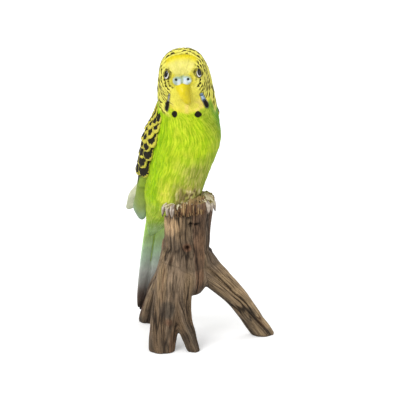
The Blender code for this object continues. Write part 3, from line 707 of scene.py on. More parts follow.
def feather_areas(around, station):
    """Parts of the plumage as shares from 0 to 1, with eased edges in stations and degrees: forehead, bib,
    mantle, and where feathers are barred, which is crown, cheeks and nape."""
    back, front = from_back(around), from_breast(around)
    forehead = eased((3.20 - station) / 0.4) * eased((50.0 - back) / 14.0)
    bib_edge = 48.0 - 10.0 * eased((station - 4.0) / 3.0)
    bib = eased((bib_edge - front) / 12.0) * eased((8.0 - station) / 0.6)
    beside_face = eased((1.35 - station) / 0.4)
    mantle = eased((11.4 - station) / 0.8) * eased((75.0 - back) / 15.0)
    barred = (1.0 - forehead) * (1.0 - bib) * (1.0 - beside_face)
    barred = barred * np.maximum(eased((8.1 - station) / 0.5), mantle)
    barred = barred * (1.0 - eased((station - 5.0) / 0.8) * eased((60.0 - front) / 10.0))
    return forehead, bib, mantle, barred


def green_coat(skin, around, station, warp, chance):
    """Paint below the head: yellower down the middle, bright on the right flank, darker at the left edge,
    pale towards the tail, where the paleness is also a painted highlight on the downward-facing rump, and
    olive with brown and cream specks at the perch."""
    middle = bump(turned_from(around, 122.0), 0.0, 62.0)
    right_flank = bump(turned_from(around, 180.0), 0.0, 38.0)
    perch = eased((station - 12.75 + 1.6 * warp) / 0.5) * bump(around, 94.0, 56.0)
    perch = perch * eased((14.8 - station) / 0.5)
    mottle = noise(skin * np.array([620.0, 620.0, 330.0]), 14)
    return coated(
        skin, "b2cf1c",
        ("c2d72c", middle * (0.35 + 0.65 * eased(0.5 + 1.6 * warp + 0.9 * (chance - 0.5)))),
        ("9ccb0c", right_flank * eased((station - 6.8) / 1.2) * 0.65),
        ("a8bb38", eased((94.0 - around) / 36.0) * 0.85),
        ("76a83e", eased((60.0 - around) / 30.0) * eased((11.5 - station) / 3.0)),
        ("8fa232", eased((station - 11.4) / 1.4) * eased((112.0 - around) / 36.0) * 0.85),
        ("aaa656", eased((station - 10.6) / 1.2 + 0.5 * warp) * bump(around, 96.0, 56.0) * 0.8),
        ("aaa04a", eased((station - 12.4) / 0.7) * bump(around, 104.0, 46.0) * 0.9),
        ("d2d048", bump(around, 150.0, 26.0) * bump(station, 13.4, 1.5) * 0.75),
        ("b0c83c", eased((station - 14.0) / 0.8) * eased((from_back(around) - 10.0) / 60.0)),
        ("a8cc5c", eased((station - 15.3) / 1.2) * 0.8),
        # Pale at the rump's end: the tail's colour blended in, and also a painted highlight where the rump
        # faces downwards.
        ("bfe0a4", eased((station - 15.8) / 1.0) * 0.9),
        ("aca066", perch * 0.85),
        ("544426", perch * eased((mottle - 0.54) / 0.1) * 0.85),
        ("d9cf9e", perch * eased((0.40 - mottle) / 0.1) * 0.7),
    )


def yellow_coat(paint, skin, around, station, warp, small):
    """The yellow of head, neck and mantle: paler on the forehead, deeper across the crown, blotched on the
    bib."""
    forehead, bib, mantle, _ = feather_areas(around, station)
    head = eased((6.45 - station + 0.9 * warp + 0.5 * small) / 0.9)
    flank = eased((8.0 - station + 0.6 * warp) / 0.5) * eased((from_breast(around) - 50.0) / 14.0)
    head = np.maximum(np.maximum(head, flank), mantle)
    bib = bib * head
    warm = eased(0.2 + 2.6 * (noise(skin * 300.0, 8) - 0.45)) * eased((station - 3.2) / 1.5)
    bright = bump(station, 5.9, 1.0) * eased(3.0 * (noise(skin * 260.0, 12) - 0.42))
    return coats(
        paint,
        ("eadc48", head),
        ("e4da76", forehead * eased((2.6 - station) / 0.8) * 0.9),
        ("d4bf00", bump(station, 2.9, 0.75) * eased((56.0 - from_back(around)) / 20.0) * 0.95),
        ("ebe25a", bib * 0.7),
        ("ecd070", bib * warm * 0.75),
        ("ecd82a", bib * bright * 0.7),
    )


def barred_coat(paint, around, barred, scallops):
    """The barred feathers: a pale middle and a dark bar at the tip, which is strong where the feather's
    number is high and faint elsewhere."""
    _, a, b, number = scallops
    bar = eased((a - 0.64) / 0.08) * eased((1.02 - a) / 0.05) * eased((0.98 - np.abs(b)) / 0.2)
    chosen = eased((number - 0.24 + 0.20 * eased((70.0 - from_back(around)) / 20.0)) / 0.2)
    bar = bar * barred * (0.20 + 0.80 * chosen)
    pale = barred * (1.0 - bar) * eased((a - 0.20) / 0.3)
    return coats(paint, ("f0ea74", pale * 0.8), ("231f06", bar * 0.96))


def face_marks(paint, rise, skin, small):
    """Cheek patches that widen downwards and end dark, raised throat spots, and hollows round the eyes."""
    fleck = eased((noise(skin * np.array([700.0, 700.0, 900.0]), 21) - 0.55) / 0.1)
    speck = eased((0.40 - noise(skin * 900.0, 26)) / 0.08)
    for start, end, narrow, code, flecks in CHEEK_PATCHES:
        away, share = near_segment(skin, skin_place(start), skin_place(end))
        reach = narrow + (CHEEK_REACH - narrow) * eased((share - 0.25) / 0.55) + 0.0006 * small
        inside = eased((reach - away) / 0.0005)
        paint = coats(
            paint,
            ("2a2812", eased((0.0006 - np.abs(away - reach)) / 0.0004) * 0.6),
            (code, inside),
            ("c9d6e8", inside * fleck * flecks),
            ("26282c", inside * speck * 0.75),
            ("1c1814", inside * eased((share - 0.48 + 0.6 * small) / 0.14)),
        )
    for place in THROAT_SPOTS:
        away = np.linalg.norm(skin - skin_place(place), axis=-1)
        paint = coats(paint, ("1f1b16", eased((THROAT_SPOT_RADIUS + 0.0010 * small - away) / 0.0004)))
        rise = rise + 0.00035 * eased((0.0022 - away) / 0.001)
    for place in EYE_PLACES:
        away = np.linalg.norm(skin - skin_place(place), axis=-1)
        paint = coats(paint, ("4a4220", bump(away, 0.0030, 0.0008) * 0.6))
        rise = rise - 0.0005 * eased((0.0034 - away) / 0.0012)
    return paint, rise


def plumage(around, station):
    """Skin, carved rise in metres, relief (0 low, 1 high) and paint: shingled scallops on the head, hair-like
    strokes below, both blended at the neck and warped by noise; forehead and bib are nearly smooth."""
    skin = body_point(around, station)
    warp = noise(skin * 160.0, 3) - 0.5
    small = noise(skin * 420.0, 5) - 0.5
    forehead, bib, _, barred = feather_areas(around, station)
    fine_rows = station / SCALLOP_LENGTH + 1.3 * warp + 0.5 * small
    columns = around / 360.0 * SCALLOP_COLUMNS + warp
    scallops = shingles(fine_rows, columns, SCALLOP_COLUMNS, 1.7, 0.60, 1)
    columns = fan(around, station) / 360.0 * STROKE_COLUMNS + 1.6 * warp
    strokes = shingles(station / STROKE_LENGTH + 1.2 * warp, columns, STROKE_COLUMNS, 2.6, 0.58, 2)
    smooth = np.maximum(forehead, bib * eased((6.4 - station) / 0.8))
    on_head = eased((8.2 - station) / 0.6)
    relief = on_head * scallops[0] + (1.0 - on_head) * strokes[0]
    strength = 0.00055 * on_head * (1.0 - 0.85 * smooth) + 0.00075 * (1.0 - on_head)
    rise = strength * (relief - 0.5) + 0.00022 * small + 0.00030 * warp - 0.00035 * on_head
    paint = green_coat(skin, around, station, warp, strokes[3])
    paint = yellow_coat(paint, skin, around, station, warp, small)
    paint = barred_coat(paint, around, barred, scallops)
    paint, rise = face_marks(paint, rise, skin, small)
    filled = on_head * 0.55 * (1.0 - smooth) + smooth * 0.85
    return skin, rise, relief + (0.85 - relief) * filled, paint


def make_body():
    """Head and body in one skin, moved along its outward direction by the plumage's rise."""
    around, station = body_grid()
    skin, rise, relief, paint = plumage(around, station)
    down = np.gradient(skin, axis=0)
    beside = np.roll(skin, -1, axis=1) - np.roll(skin, 1, axis=1)
    normal = unit(np.cross(beside, down))
    middle_row = SKIN_ROWS // 2
    if (normal[middle_row] * (skin[middle_row] - skin[middle_row].mean(axis=0))).sum() < 0:
        normal = -normal
    ends = eased((station - FIRST_STATION) / 0.25) * eased((LAST_STATION - station) / 0.3)
    skin = skin + normal * (rise * ends)[..., None]
    waver = 1.6 * (noise(skin * 150.0, 17) - 0.5)
    flow = np.stack([fan(around, station) / 360.0 * 150.0 + waver, station * 0.85, waver], axis=-1)
    hairy = 0.25 + 0.65 * eased((station - 5.8) / 1.4)
    material = painted("plumage", stroke_paint, wash=0.65, crest=0.3, grain=0.12, relief="relief",
                       depth=0.00028, dirt=(0.46, 0.50, 0.10), specular=0.1)
    return surface("body_and_head", skin, material, relief=relief, paint=paint, flow=flow, hairy=hairy)


# Wings and tail
def wing_shell(hand):
    """The folded wing's own mass, sunk in the body, under its feathers: the outer skin, narrowed towards both
    ends by the sine of the nearness of an end, and the same skin moved inwards."""
    rows, columns = 44, 24
    along = np.linspace(0.0, 1.0, rows)
    across = np.linspace(0.0, 1.0, columns)
    near_end = np.clip(np.minimum(along / 0.25, (1.25 - along) / 0.45), 0.12, 1.0)
    taper = np.sin(0.5 * math.pi * near_end)[:, None]
    spread = 0.5 + (across[None, :] - 0.5) * taper
    outer = wing_place(hand, along[:, None], spread)
    inward = unit(body_middle(wing_station(along))[:, None] - outer)
    inner = outer + inward * ((WING_THICKNESS + WING_ROOT_SINK) * (0.4 + 0.6 * taper))[..., None]
    rings = np.concatenate([outer, inner[:, ::-1]], axis=1)
    share = np.concatenate([spread, spread[:, ::-1]], axis=1)
    place = along[:, None] + 0.08 * (noise(rings * 300.0, 19) - 0.5)
    code, slant = SHELL_ENDS[hand]
    paint = coated(
        rings, "4a4614",
        ("231e10", eased((place - 0.60) / 0.1)),
        (code, eased((place - 0.68 - slant * share) / 0.10)),
    )
    material = painted("wing_ground", wash=0.3, relief=0.8)
    surface(side_of(hand) + "_wing_shell", rings, material, paint=paint)


def on_wing(hand, along, across):
    """Place, downward and outward direction on a wing's outer skin."""
    step = 1e-3
    at = wing_place(hand, along, across)
    down = unit(wing_place(hand, along + step, across) - at)
    outward = unit(np.cross(down, wing_place(hand, along, across + step) - at)) * hand
    return at, down, outward


def make_coverts(hand):
    """Staggered rows of black feathers with yellow rims, small at the shoulder and longer down the wing, each
    row's tips standing clear of the next."""
    rows, columns = 9, 5
    row, column = (v.ravel() for v in np.meshgrid(np.arange(rows), np.arange(columns), indexing="ij"))
    cells = np.stack([row, column, 0 * row + hand], axis=-1)
    chance, other = hashed(cells, 4), hashed(cells, 7)
    share = row / (rows - 1)
    along = 0.02 + 0.68 * share ** 1.12 + 0.02 * (other - 0.5)
    across = (column + 0.25 + 0.5 * (row % 2)) / columns + 0.05 * (chance - 0.5)
    at, down, outward = on_wing(hand, along, across)
    length = (0.0080 + 0.0068 * share) * (0.88 + 0.24 * chance)
    width = (0.0062 + 0.0036 * share) * (0.90 + 0.2 * other)
    base = at - down * (0.45 * length)[:, None] - outward * 0.0012
    tip = at + down * (0.55 * length)[:, None] + outward * (0.0006 + 0.0008 * share)[:, None]
    rings, a, b = blades(base, tip, outward, width, 0.0012, widest=0.66, dome=0.20)
    rimmed = (chance - 1.5 * eased((share - 0.45) / 0.5))[:, None, None] + 0 * a
    material = painted("covert_feathers", covert_paint, wash=0.1)
    surface(side_of(hand) + "_wing_coverts", rings, material, along=a, across=b, seed=rimmed)


def long_feathers(name, base, tip, outward, width, thickness, codes, widest, dome=0.12, dark=()):
    """Flight or tail feathers, their colours running from base to tip through the given codes. dark is how
    far along each one its dark base reaches."""
    rings, a, b = blades(base, tip, outward, width, thickness, widest, dome, rows=26, sides=14)
    stops = np.array([colour(code) for code in codes])
    paint = along_rows(stops, a * (len(stops) - 1) + 0.35 * (noise(rings * 260.0, 6) - 0.5))
    if dark:
        reach = np.array(dark)[:, None, None]
        paint = coats(paint, ("1d190f", eased((reach + 0.04 * b - a) / 0.10)))
    groove = eased((0.075 - np.abs(b)) / 0.07)
    paint = np.clip(paint * (1.0 - 0.35 * groove)[..., None], 0.0, 1.0)
    seed = np.arange(len(rings))[:, None, None] * 0.37 % 1.0 + 0 * a
    material = painted(name + "_vanes", vane_paint, wash=0.1, grain=0.15, depth=0.00016)
    surface(name, rings, material, paint=paint, along=a, across=b, seed=seed)


def make_flights(hand):
    """The wing's greater coverts and its long feathers, down to the folded wing's tip."""
    across = np.array([0.10, 0.30, 0.50, 0.70, 0.90])
    at, down, outward = on_wing(hand, 0.70 + 0 * across, across)
    base = at - down * 0.006 - outward * 0.0016
    tip = at + down * 0.0075 + outward * 0.0010
    long_feathers(side_of(hand) + "_greater_coverts", base, tip, outward, 0.0090, 0.0014,
                  GREATER_COVERT_COLOURS, widest=0.5)
    ends, width, codes, dark = WING_TIPS[hand]
    start, towards = [], []
    for across, side, forward, above in along_rows(ends, np.linspace(0.0, 1.0, len(dark))):
        at, _, _ = on_wing(hand, 0.60, across)
        inward = unit(body_middle(11.6) - at)
        start.append(at + inward * WING_THICKNESS * 0.12)
        towards.append(in_room(side, forward, STUMP_HEIGHT + above))
    facing = unit(np.array([-0.45, -0.85, 0.2])) + 0 * np.array(start)
    long_feathers(side_of(hand) + "_wing_tip", np.array(start), np.array(towards), facing, width, 0.0022,
                  codes, widest=0.86, dome=0.16, dark=dark)


def make_tail():
    """Graduated tail: a long middle feather and shorter ones beside it, down to the back-left root, and the
    raised shaft line of the middle one."""
    foot_x, foot_y = ROOTS[3][-1][:2]
    tip = np.array([foot_x - 0.0048, foot_y + 0.0042, 0.0045])
    root = in_room(0.0008, -0.90 * BODY_HALF_DEPTH, STUMP_HEIGHT + 0.02)
    run = tip - root
    turn = math.radians(RUMP_TURN)
    outward = np.array([-math.sin(turn), math.cos(turn), 0.0])
    sideways = unit(np.cross(outward, run))
    offset = np.array([-2.0, -1.0, 0.0, 1.0, 2.0])
    place = sideways * (0.0023 * offset)[:, None] - outward * (0.00085 * np.abs(offset))[:, None]
    base = root + place
    end = root + run * (1.0 - 0.02 * np.abs(offset))[:, None] + place
    long_feathers("tail", base, end, outward + 0 * base, TAIL_FEATHER_WIDTH, 0.0024, TAIL_COLOURS,
                  widest=0.55, dome=0.10)
    sections = 12
    shaft = np.linspace(0.30, 0.66, sections)[:, None]
    line = root + run * shaft - outward * 0.00175 + sideways * 0.0002
    rings = tube(line, 0.00034 * np.linspace(1.0, 0.5, sections), 6, up=outward)
    surface("tail_shaft", rings, painted("shaft_line", wash=0.0, grain=0.1), paint=coated(rings, "b7d65c"))


# Face
def make_beak():
    """A hooked bill: round sections with a soft ridge in front, carried down a curve that swells forwards
    like half a sine wave and turns back to the throat, their half-widths closing as a power of the share."""
    rows, sides = 40, 40
    share = np.linspace(0.0, 1.0, rows)
    top = STUMP_HEIGHT + 0.820 * BIRD_HEIGHT
    forward = 0.70 * BODY_HALF_DEPTH + BEAK_DEPTH * np.sin(math.pi * (0.12 + 0.70 * share)) * 0.95
    height = top - BEAK_LENGTH * share ** 1.15
    half_width = BEAK_HALF_WIDTH * (1 - share ** 1.6) ** 0.6 + 0.0003
    half_depth = BEAK_DEPTH * 0.45 * (1 - share ** 1.8) ** 0.6 + 0.0003
    angle = 2 * math.pi * np.arange(sides) / sides
    ridge = 1.0 + 0.07 * np.exp(-((angle - math.pi / 2) / 0.28) ** 2)
    side = half_width[:, None] * np.cos(angle) * (1.0 - 0.12 * np.maximum(np.sin(angle), 0.0) ** 2)
    ahead = forward[:, None] + half_depth[:, None] * (np.sin(angle) * ridge - 1.0)
    rings = in_room(side, ahead, height[:, None] + 0 * side)
    # Yellow, with a painted highlight on the bill's right side, which faces the light, and painted shade on
    # its left side; greyer at the tip.
    paint = coated(
        rings, "d8c614",
        ("e4d220", eased(0.3 - np.cos(angle)) * bump(share, 0.35, 0.5)[:, None]),
        ("c3b312", eased((np.cos(angle) - 0.1) / 0.8)[None, :] * 0.8),
        ("c2b23a", eased((share - 0.80) / 0.2)[:, None]),
    )
    material = painted("bill", wash=0.0, crest=0.2, grain=0.12, coat=0.15, roughness=0.42, depth=0.00005)
    surface("bill", rings, material, paint=paint)


def make_cere():
    """The two swollen lobes over the bill, each an ellipsoid with a dark nostril pressed into it."""
    turn = math.radians(HEAD_TURN)
    axes = ((math.cos(turn), math.sin(turn), 0.0), (-math.sin(turn), math.cos(turn), 0.0), UP)
    sizes = (CERE_RADIUS * 1.08, CERE_RADIUS * 0.60, CERE_RADIUS * 1.12)
    height = STUMP_HEIGHT + 0.839 * BIRD_HEIGHT
    lobes, paints = [], []
    for hand in (-1, 1):
        centre = in_room(hand * CERE_RADIUS * 0.82, 0.78 * BODY_HALF_DEPTH, height)
        rings = ball(centre, axes, sizes, 44, 60)
        nostril = centre + np.array([hand * 0.0011, -CERE_RADIUS * 0.54, 0.0009])
        away = np.linalg.norm((rings - nostril) * np.array([1.0, 0.5, 1.0]), axis=-1)
        rings = rings + np.array([0.0, 0.0010, 0.0]) * eased((0.0009 - away) / 0.0007)[..., None]
        inner = hand * ((rings - centre) @ np.array(axes[0]))
        above = rings[..., 2] - centre[2]
        far = np.hypot(inner / sizes[0], above / CERE_RADIUS)
        lobes.append(rings)
        paints.append(coated(
            rings, "a3b8ac",
            ("c8dae4", eased((noise(rings * 420.0, 3) - 0.35) / 0.3)),
            ("e6eef4", eased((0.0010 - inner) / 0.0016) * eased((0.0006 - above) / 0.0014) * 0.85),
            ("8fa682", eased((above - 0.0010) / 0.0016) * 0.8),
            ("9db07c", eased((-0.0014 - inner) / 0.0010) * 0.8),
            ("c3bd56", eased((far - 0.74) / 0.22) * eased((inner + 0.0022) / 0.001) * 0.9),
            ("20222c", eased((0.00105 - away) / 0.0003)),
        ))
    material = painted("cere", wash=0.0, crest=0.2, grain=0.15, coat=0.1, roughness=0.45)
    surface("cere", np.array(lobes), material, paint=np.array(paints))


def make_eyes():
    """Almond eyes, black with a white crescent below and in front, each in a thin dark lid: a round section
    carried along an ellipse just outside the eye."""
    gloss = painted("eye", wash=0.0, crest=0.0, grain=0.0, coat=0.6, roughness=0.15, depth=0.0)
    lid = painted("eyelid", wash=0.2, crest=0.2, grain=0.2)
    half_width, _, half_height = EYE_SIZES
    lid_rows, lid_sides = 60, 12
    for name, place in zip(("right", "left"), EYE_PLACES):
        around, station = np.array(place[0]), np.array(place[1])
        centre = body_point(around, station, 0.0001)
        outward = body_normal(around, station)
        up = unit(UP - outward * outward[2])
        ahead = unit(np.cross(up, outward))
        ahead = ahead * np.sign(-ahead[1])
        eye = ball(centre, (ahead, outward, up), EYE_SIZES, 60, 72)
        across, above = (eye - centre) @ ahead, (eye - centre) @ up
        dark = np.hypot((across + 0.00022) / 0.00142, (above - 0.00042) / 0.00235)
        edge = np.hypot(across / half_width, above / half_height)
        paint = coated(
            eye, "b5a83c",
            ("e6e4da", eased((across * 0.9 - above + 0.0004) / 0.0008)),
            ("060607", eased((1.08 - dark) / 0.12)),
            ("3c3418", eased((edge - 0.90) / 0.06) * 0.9),
        )
        surface(name + "_eye", eye, gloss, "eye_gloss", paint=paint)
        turn = 2 * math.pi * np.arange(lid_rows)[:, None] / lid_rows
        spoke = ahead * np.cos(turn) * (half_width + 0.0001) + up * np.sin(turn) * (half_height + 0.0001)
        section = 2 * math.pi * np.arange(lid_sides)[None, :, None] / lid_sides
        out = unit(spoke)[:, None] * np.cos(section) + outward * np.sin(section)
        ring = centre + outward * 0.0001 + spoke[:, None] + out * 0.00022
        paint = coated(ring, "a89c3c", ("3c3418", eased((0.2 - np.sin(turn)) / 0.8)))
        closed_ring(name + "_eyelid", ring, lid, paint)


# Feet, the fringe of belly feathers and the splintered rim
def outward_at(bearing):
    """The level direction at a bearing from the front, counted towards the viewer's right."""
    return np.stack([np.sin(bearing), -np.cos(bearing), 0 * bearing], axis=-1)


def top_height(points):
    """Height of the stump's sloping top over the points."""
    return STUMP_HEIGHT + TOP_SLOPE * points[..., 0]


def make_feet():
    """Three toes a foot, bent over the stump's rim, ringed with scales and ending in claws: round sections
    carried along a path whose slope grows with eased steps."""
    share = np.linspace(0.0, 1.0, 42)
    bend = np.radians(-6.0 + 92.0 * eased(share * 1.3))
    step = TOE_LENGTH / (len(share) - 1)
    forward, drop = np.cumsum(np.cos(bend)) * step, np.cumsum(np.sin(bend)) * step
    swell = np.interp(share, np.linspace(0, 1, 7), [1.0, 1.1, 0.95, 1.1, 0.95, 0.65, 0.20])
    scales = np.abs(np.sin(share * math.pi * 6.0)) ** 0.5
    radius = TOE_RADIUS * swell * (0.80 + 0.06 * scales * (share < 0.8))
    sides = 16
    column = share[:, None]
    toes, paints = [], []
    for bearing in np.radians(FOOT_BEARINGS):
        direction = outward_at(bearing)
        beside = np.array([math.cos(bearing), math.sin(bearing), 0.0])
        rim = direction * (RIM_RADIUS - TOE_LENGTH * 0.36)
        rim[2] = top_height(rim) + TOE_RADIUS * 0.5
        for toe in (-1, 0, 1):
            spread = TOE_SPACING * toe * (0.70 + 0.50 * column)
            path = rim + direction * forward[:, None] + beside * spread - UP * drop[:, None]
            rings = tube(path, radius, sides, up=beside)
            cells = np.broadcast_arrays(np.arange(sides) * 0.9, column * 3.0, float(toe))
            lines = noise(np.stack(cells, axis=-1), 31)
            toes.append(rings)
            paints.append(coated(
                rings, "ddd2c4",
                ("8f7c6a", (1.0 - scales[:, None]) * 0.5),
                ("75645c", eased((lines - 0.50) / 0.12) * 0.8),
                ("8a7868", eased((column - 0.45) / 0.3) * 0.55),
                ("4a3c34", eased((column - 0.84) / 0.08) * 0.85),
            ))
    material = painted("toes", wash=0.4, crest=0.4, grain=0.3)
    surface("feet", np.array(toes), material, paint=np.array(paints))


def make_fringe():
    """Loose belly feathers that hang over the stump's rim, longer and paler over the feet, and that start
    higher in front, where the belly comes down."""
    chance = chances(FRINGE_COUNT, 6, 9)
    bearing = np.radians(-105.0 + 210.0 * (np.arange(FRINGE_COUNT) + chance[0]) / FRINGE_COUNT)
    degrees = np.degrees(bearing)
    direction = outward_at(bearing)
    feet = np.maximum(*(bump(degrees, foot, 24.0) for foot in FOOT_BEARINGS))
    ahead = bump(degrees, 2.0, 40.0)
    base = direction * (0.0112 + 0.0024 * chance[1] + 0.0010 * feet)[:, None]
    base[:, 2] = top_height(base) + 0.0012 + (0.0020 + 0.0050 * ahead) * chance[2] + 0.0014 * feet
    tip = direction * (0.0150 + 0.0020 * chance[3] + 0.0038 * feet)[:, None]
    tip[:, 2] = top_height(tip) + 0.0014 + 0.0020 * ahead * chance[2] - 0.0034 * chance[4] ** 1.5
    tip[:, 2] += feet * (0.0006 - 0.0032 * chance[0])
    beside = np.stack([np.cos(bearing), np.sin(bearing), 0 * bearing], axis=-1)
    tip += beside * ((chance[4] - 0.5) * 0.004)[:, None]
    outward = unit(direction + 0.8 * UP)
    width = 0.0008 + 0.0009 * chance[1]
    rings, a, _ = blades(base, tip, outward, width, 0.0007, widest=0.5, dome=0.1, rows=6, sides=6)
    pick = (chance[5] + 0.42 * feet)[:, None, None] + 0 * a
    paint = coated(
        rings, "9a8d54",
        ("ded6b4", eased((pick - 0.62) / 0.1)),
        ("6a5738", eased((0.34 - pick) / 0.1)),
        ("a58f70", bump(pick, 0.90, 0.06)),
        ("b9c23c", eased((0.35 - a) / 0.3) * 0.6 * (1.0 - feet)[:, None, None]),
    )
    surface("belly_fringe", rings, painted("fringe_feathers", wash=0.3, crest=0.4, grain=0.3), paint=paint)


def make_splinters():
    """Upright slivers of bark on the stump's rim between the feet, light and dark by turns, higher to the
    right."""
    chance = chances(SPLINTER_COUNT, 5, 23)
    bearing = np.radians(-26.0 + 74.0 * (np.arange(SPLINTER_COUNT) + chance[0]) / SPLINTER_COUNT)
    direction = outward_at(bearing)
    base = direction * (RIM_RADIUS - 0.0008 + 0.0010 * chance[1])[:, None]
    base[:, 2] = top_height(base) - 0.0050 - 0.0030 * chance[4]
    tip = direction * (RIM_RADIUS - 0.0022 + 0.0018 * chance[2])[:, None]
    higher = 0.0012 + 0.0042 * eased((np.degrees(bearing) + 24.0) / 34.0)
    tip[:, 2] = top_height(tip) + higher * (0.35 + 0.65 * chance[3])
    width = 0.0005 + 0.0008 * chance[1]
    rings, a, _ = blades(base, tip, direction, width, 0.0010, widest=0.45, dome=0.25)
    pick = chance[3][:, None, None] + 0.5 * (noise(rings * 500.0, 24) - 0.5)
    paint = coated(
        rings, "76573c",
        ("ab8d62", eased((pick - 0.62) / 0.1)),
        ("3a2a1c", eased((0.42 - pick) / 0.1)),
        ("9c9456", eased((a - 0.82) / 0.15) * 0.5),
    )
    material = painted("splinters", wash=0.4, crest=0.4, grain=0.4, depth=0.0003)
    surface("stump_splinters", rings, material, "painted_bark", paint=paint)


# Stump
def limb_rings(rows, top_slope=0.0):
    """A root or the trunk as level sections, each an ellipse drawn out along the limb's lean by the slant
    over the rise, so that the limb keeps its girth. The trunk's top slopes."""
    rows = along_rows(rows, np.linspace(0.0, len(rows) - 1.0, LIMB_SECTIONS))
    if rows[-1, 2] < 1e-6:
        rows = np.concatenate([rows, rows[-1:] - np.array([0.0, 0.0, 0.003, 0.0])])
    path, radius = rows[:, :3].copy(), rows[:, 3]
    run = np.gradient(path, axis=0)
    flat = np.maximum(np.linalg.norm(run[:, :2], axis=1), 1e-9)
    stretch = np.minimum(np.hypot(flat, run[:, 2]) / np.maximum(np.abs(run[:, 2]), 1e-9), 1.6)
    lean = run[:, :2] / flat[:, None]
    angle = 2 * math.pi * np.arange(LIMB_SIDES) / LIMB_SIDES
    along = np.cos(angle)[None, :] * (radius * stretch)[:, None]
    beside = np.sin(angle)[None, :] * radius[:, None]
    x = path[:, :1] + along * lean[:, :1] - beside * lean[:, 1:]
    y = path[:, 1:2] + along * lean[:, 1:] + beside * lean[:, :1]
    z = path[:, 2:] + top_slope * x * eased((path[:, 2:] - 0.06) / 0.035)
    return np.stack(np.broadcast_arrays(x, y, z), axis=-1)


def neighbours_sum(numbers, values, count):
    """For each of count points the sum of the values (rows of x, y, z) that the numbers assign to it."""
    return np.stack([np.bincount(numbers, values[:, k], count) for k in range(3)], axis=-1)


def fused(rings_list, voxel):
    """One skin over overlapping limbs: a voxel remesh, then rounds that move each point half of the way to
    the middle of its neighbours. Returns points and quads."""
    mesh = bpy.data.meshes.new("limbs")
    points, faces = [], []
    for rings in rings_list:
        index = len(points) + np.arange(rings[..., 0].size).reshape(rings.shape[:2])
        faces += ring_quads(index).tolist() + [index[0, ::-1].tolist(), index[-1].tolist()]
        points += rings.reshape(-1, 3).tolist()
    mesh.from_pydata(points, [], faces)
    limbs = bpy.data.objects.new("limbs", mesh)
    bpy.context.scene.collection.objects.link(limbs)
    remesh = limbs.modifiers.new("fuse", "REMESH")
    remesh.mode = "VOXEL"
    remesh.voxel_size = voxel
    remesh.adaptivity = 0.0
    bpy.context.view_layer.update()
    graph = bpy.context.evaluated_depsgraph_get()
    made = bpy.data.meshes.new_from_object(limbs.evaluated_get(graph))
    bpy.data.objects.remove(limbs)
    points = np.empty(len(made.vertices) * 3)
    made.vertices.foreach_get("co", points)
    points = points.reshape(-1, 3)
    corners = np.empty(len(made.loops), np.int32)
    made.loops.foreach_get("vertex_index", corners)
    edges = np.empty(len(made.edges) * 2, np.int32)
    made.edges.foreach_get("vertices", edges)
    bpy.data.meshes.remove(made)
    one, other = edges.reshape(-1, 2).T
    count = len(points)
    degree = np.bincount(edges, minlength=count)[:, None]
    for _ in range(SMOOTHING_ROUNDS):
        total = neighbours_sum(one, points[other], count) + neighbours_sum(other, points[one], count)
        points = points + 0.5 * (total / degree - points)
    return points, corners.reshape(-1, 4)


def quad_normals(points, quads):
    """Outward direction at each point, the sum over its faces."""
    a, b, c, d = (points[quads[:, k]] for k in range(4))
    face = np.cross(c - a, d - b)
    return unit(sum(neighbours_sum(quads[:, corner], face, len(points)) for corner in range(4)))


def bark(points):
    """Bark over the limbs: narrow grooves where noise crosses its middle, in cells drawn out along each limb,
    coarse furrows and finer ones, blended between limbs by nearness. Returns relief 0 to 1, two slow streaks
    of colour, the depth of the narrow grooves, the nearest limb's fibre coordinates and how clearly it is."""
    fields, weights = np.zeros((4, len(points))), np.zeros(len(points))
    fibre, nearest = np.zeros((len(points), 3)), np.full(len(points), -1.0)
    for number, rows in enumerate((TRUNK_AXIS, *ROOTS)):
        rows = np.array(sorted(rows, key=lambda row: row[2]))
        height = np.clip(points[:, 2], rows[0, 2], rows[-1, 2])
        x, y, radius = (np.interp(height, rows[:, 2], rows[:, k]) for k in (0, 1, 3))
        offset = np.stack([points[:, 0] - x, points[:, 1] - y], axis=-1)
        away = np.linalg.norm(offset, axis=-1)
        beyond = np.abs(points[:, 2] - height) / 0.008
        weight = np.exp(-9.0 * np.maximum(away / radius, 0.7) - 3.0 * beyond)
        girth, turns = (0.0150, 6.0) if number == 0 else (0.0090, 14.0)
        if number > 0:
            weight *= 1.0 - 0.97 * eased((points[:, 2] - 0.036) / 0.024)
        spoke = offset / np.maximum(away, 1e-6)[:, None]
        twist = points[:, 2] * turns
        spoke = np.stack([spoke[:, 0] * np.cos(twist) - spoke[:, 1] * np.sin(twist),
                          spoke[:, 0] * np.sin(twist) + spoke[:, 1] * np.cos(twist)], axis=-1)
        place = np.concatenate([spoke * girth, points[:, 2:]], axis=-1)
        wander = noise(points * 110.0, 40 + number)[:, None] * np.array([0.0016, 0.0016, 0.0])
        here = np.zeros((4, len(points)))
        for layer, (share, wide, long, narrow) in enumerate(FURROWS, 1):
            cut = ridged((place + wander) / np.array([wide, wide, long]), 10 * number + layer) ** narrow
            here[0] += share * (1.0 - cut)
            if layer > 1:
                here[3] = np.maximum(here[3], cut * (1.3 - 0.15 * layer))
        for layer, (wide, long) in enumerate(STREAKS, 1):
            here[layer] = noise(place / np.array([wide, wide, long]), 60 + layer)
        fields += weight * here
        weights += weight
        closer = weight > nearest
        nearest = np.where(closer, weight, nearest)
        fibre = np.where(closer[:, None], place * np.array([1700.0, 1700.0, 150.0]), fibre)
    fields = fields / weights
    return (*fields, fibre, eased((nearest / weights - 0.5) / 0.1))


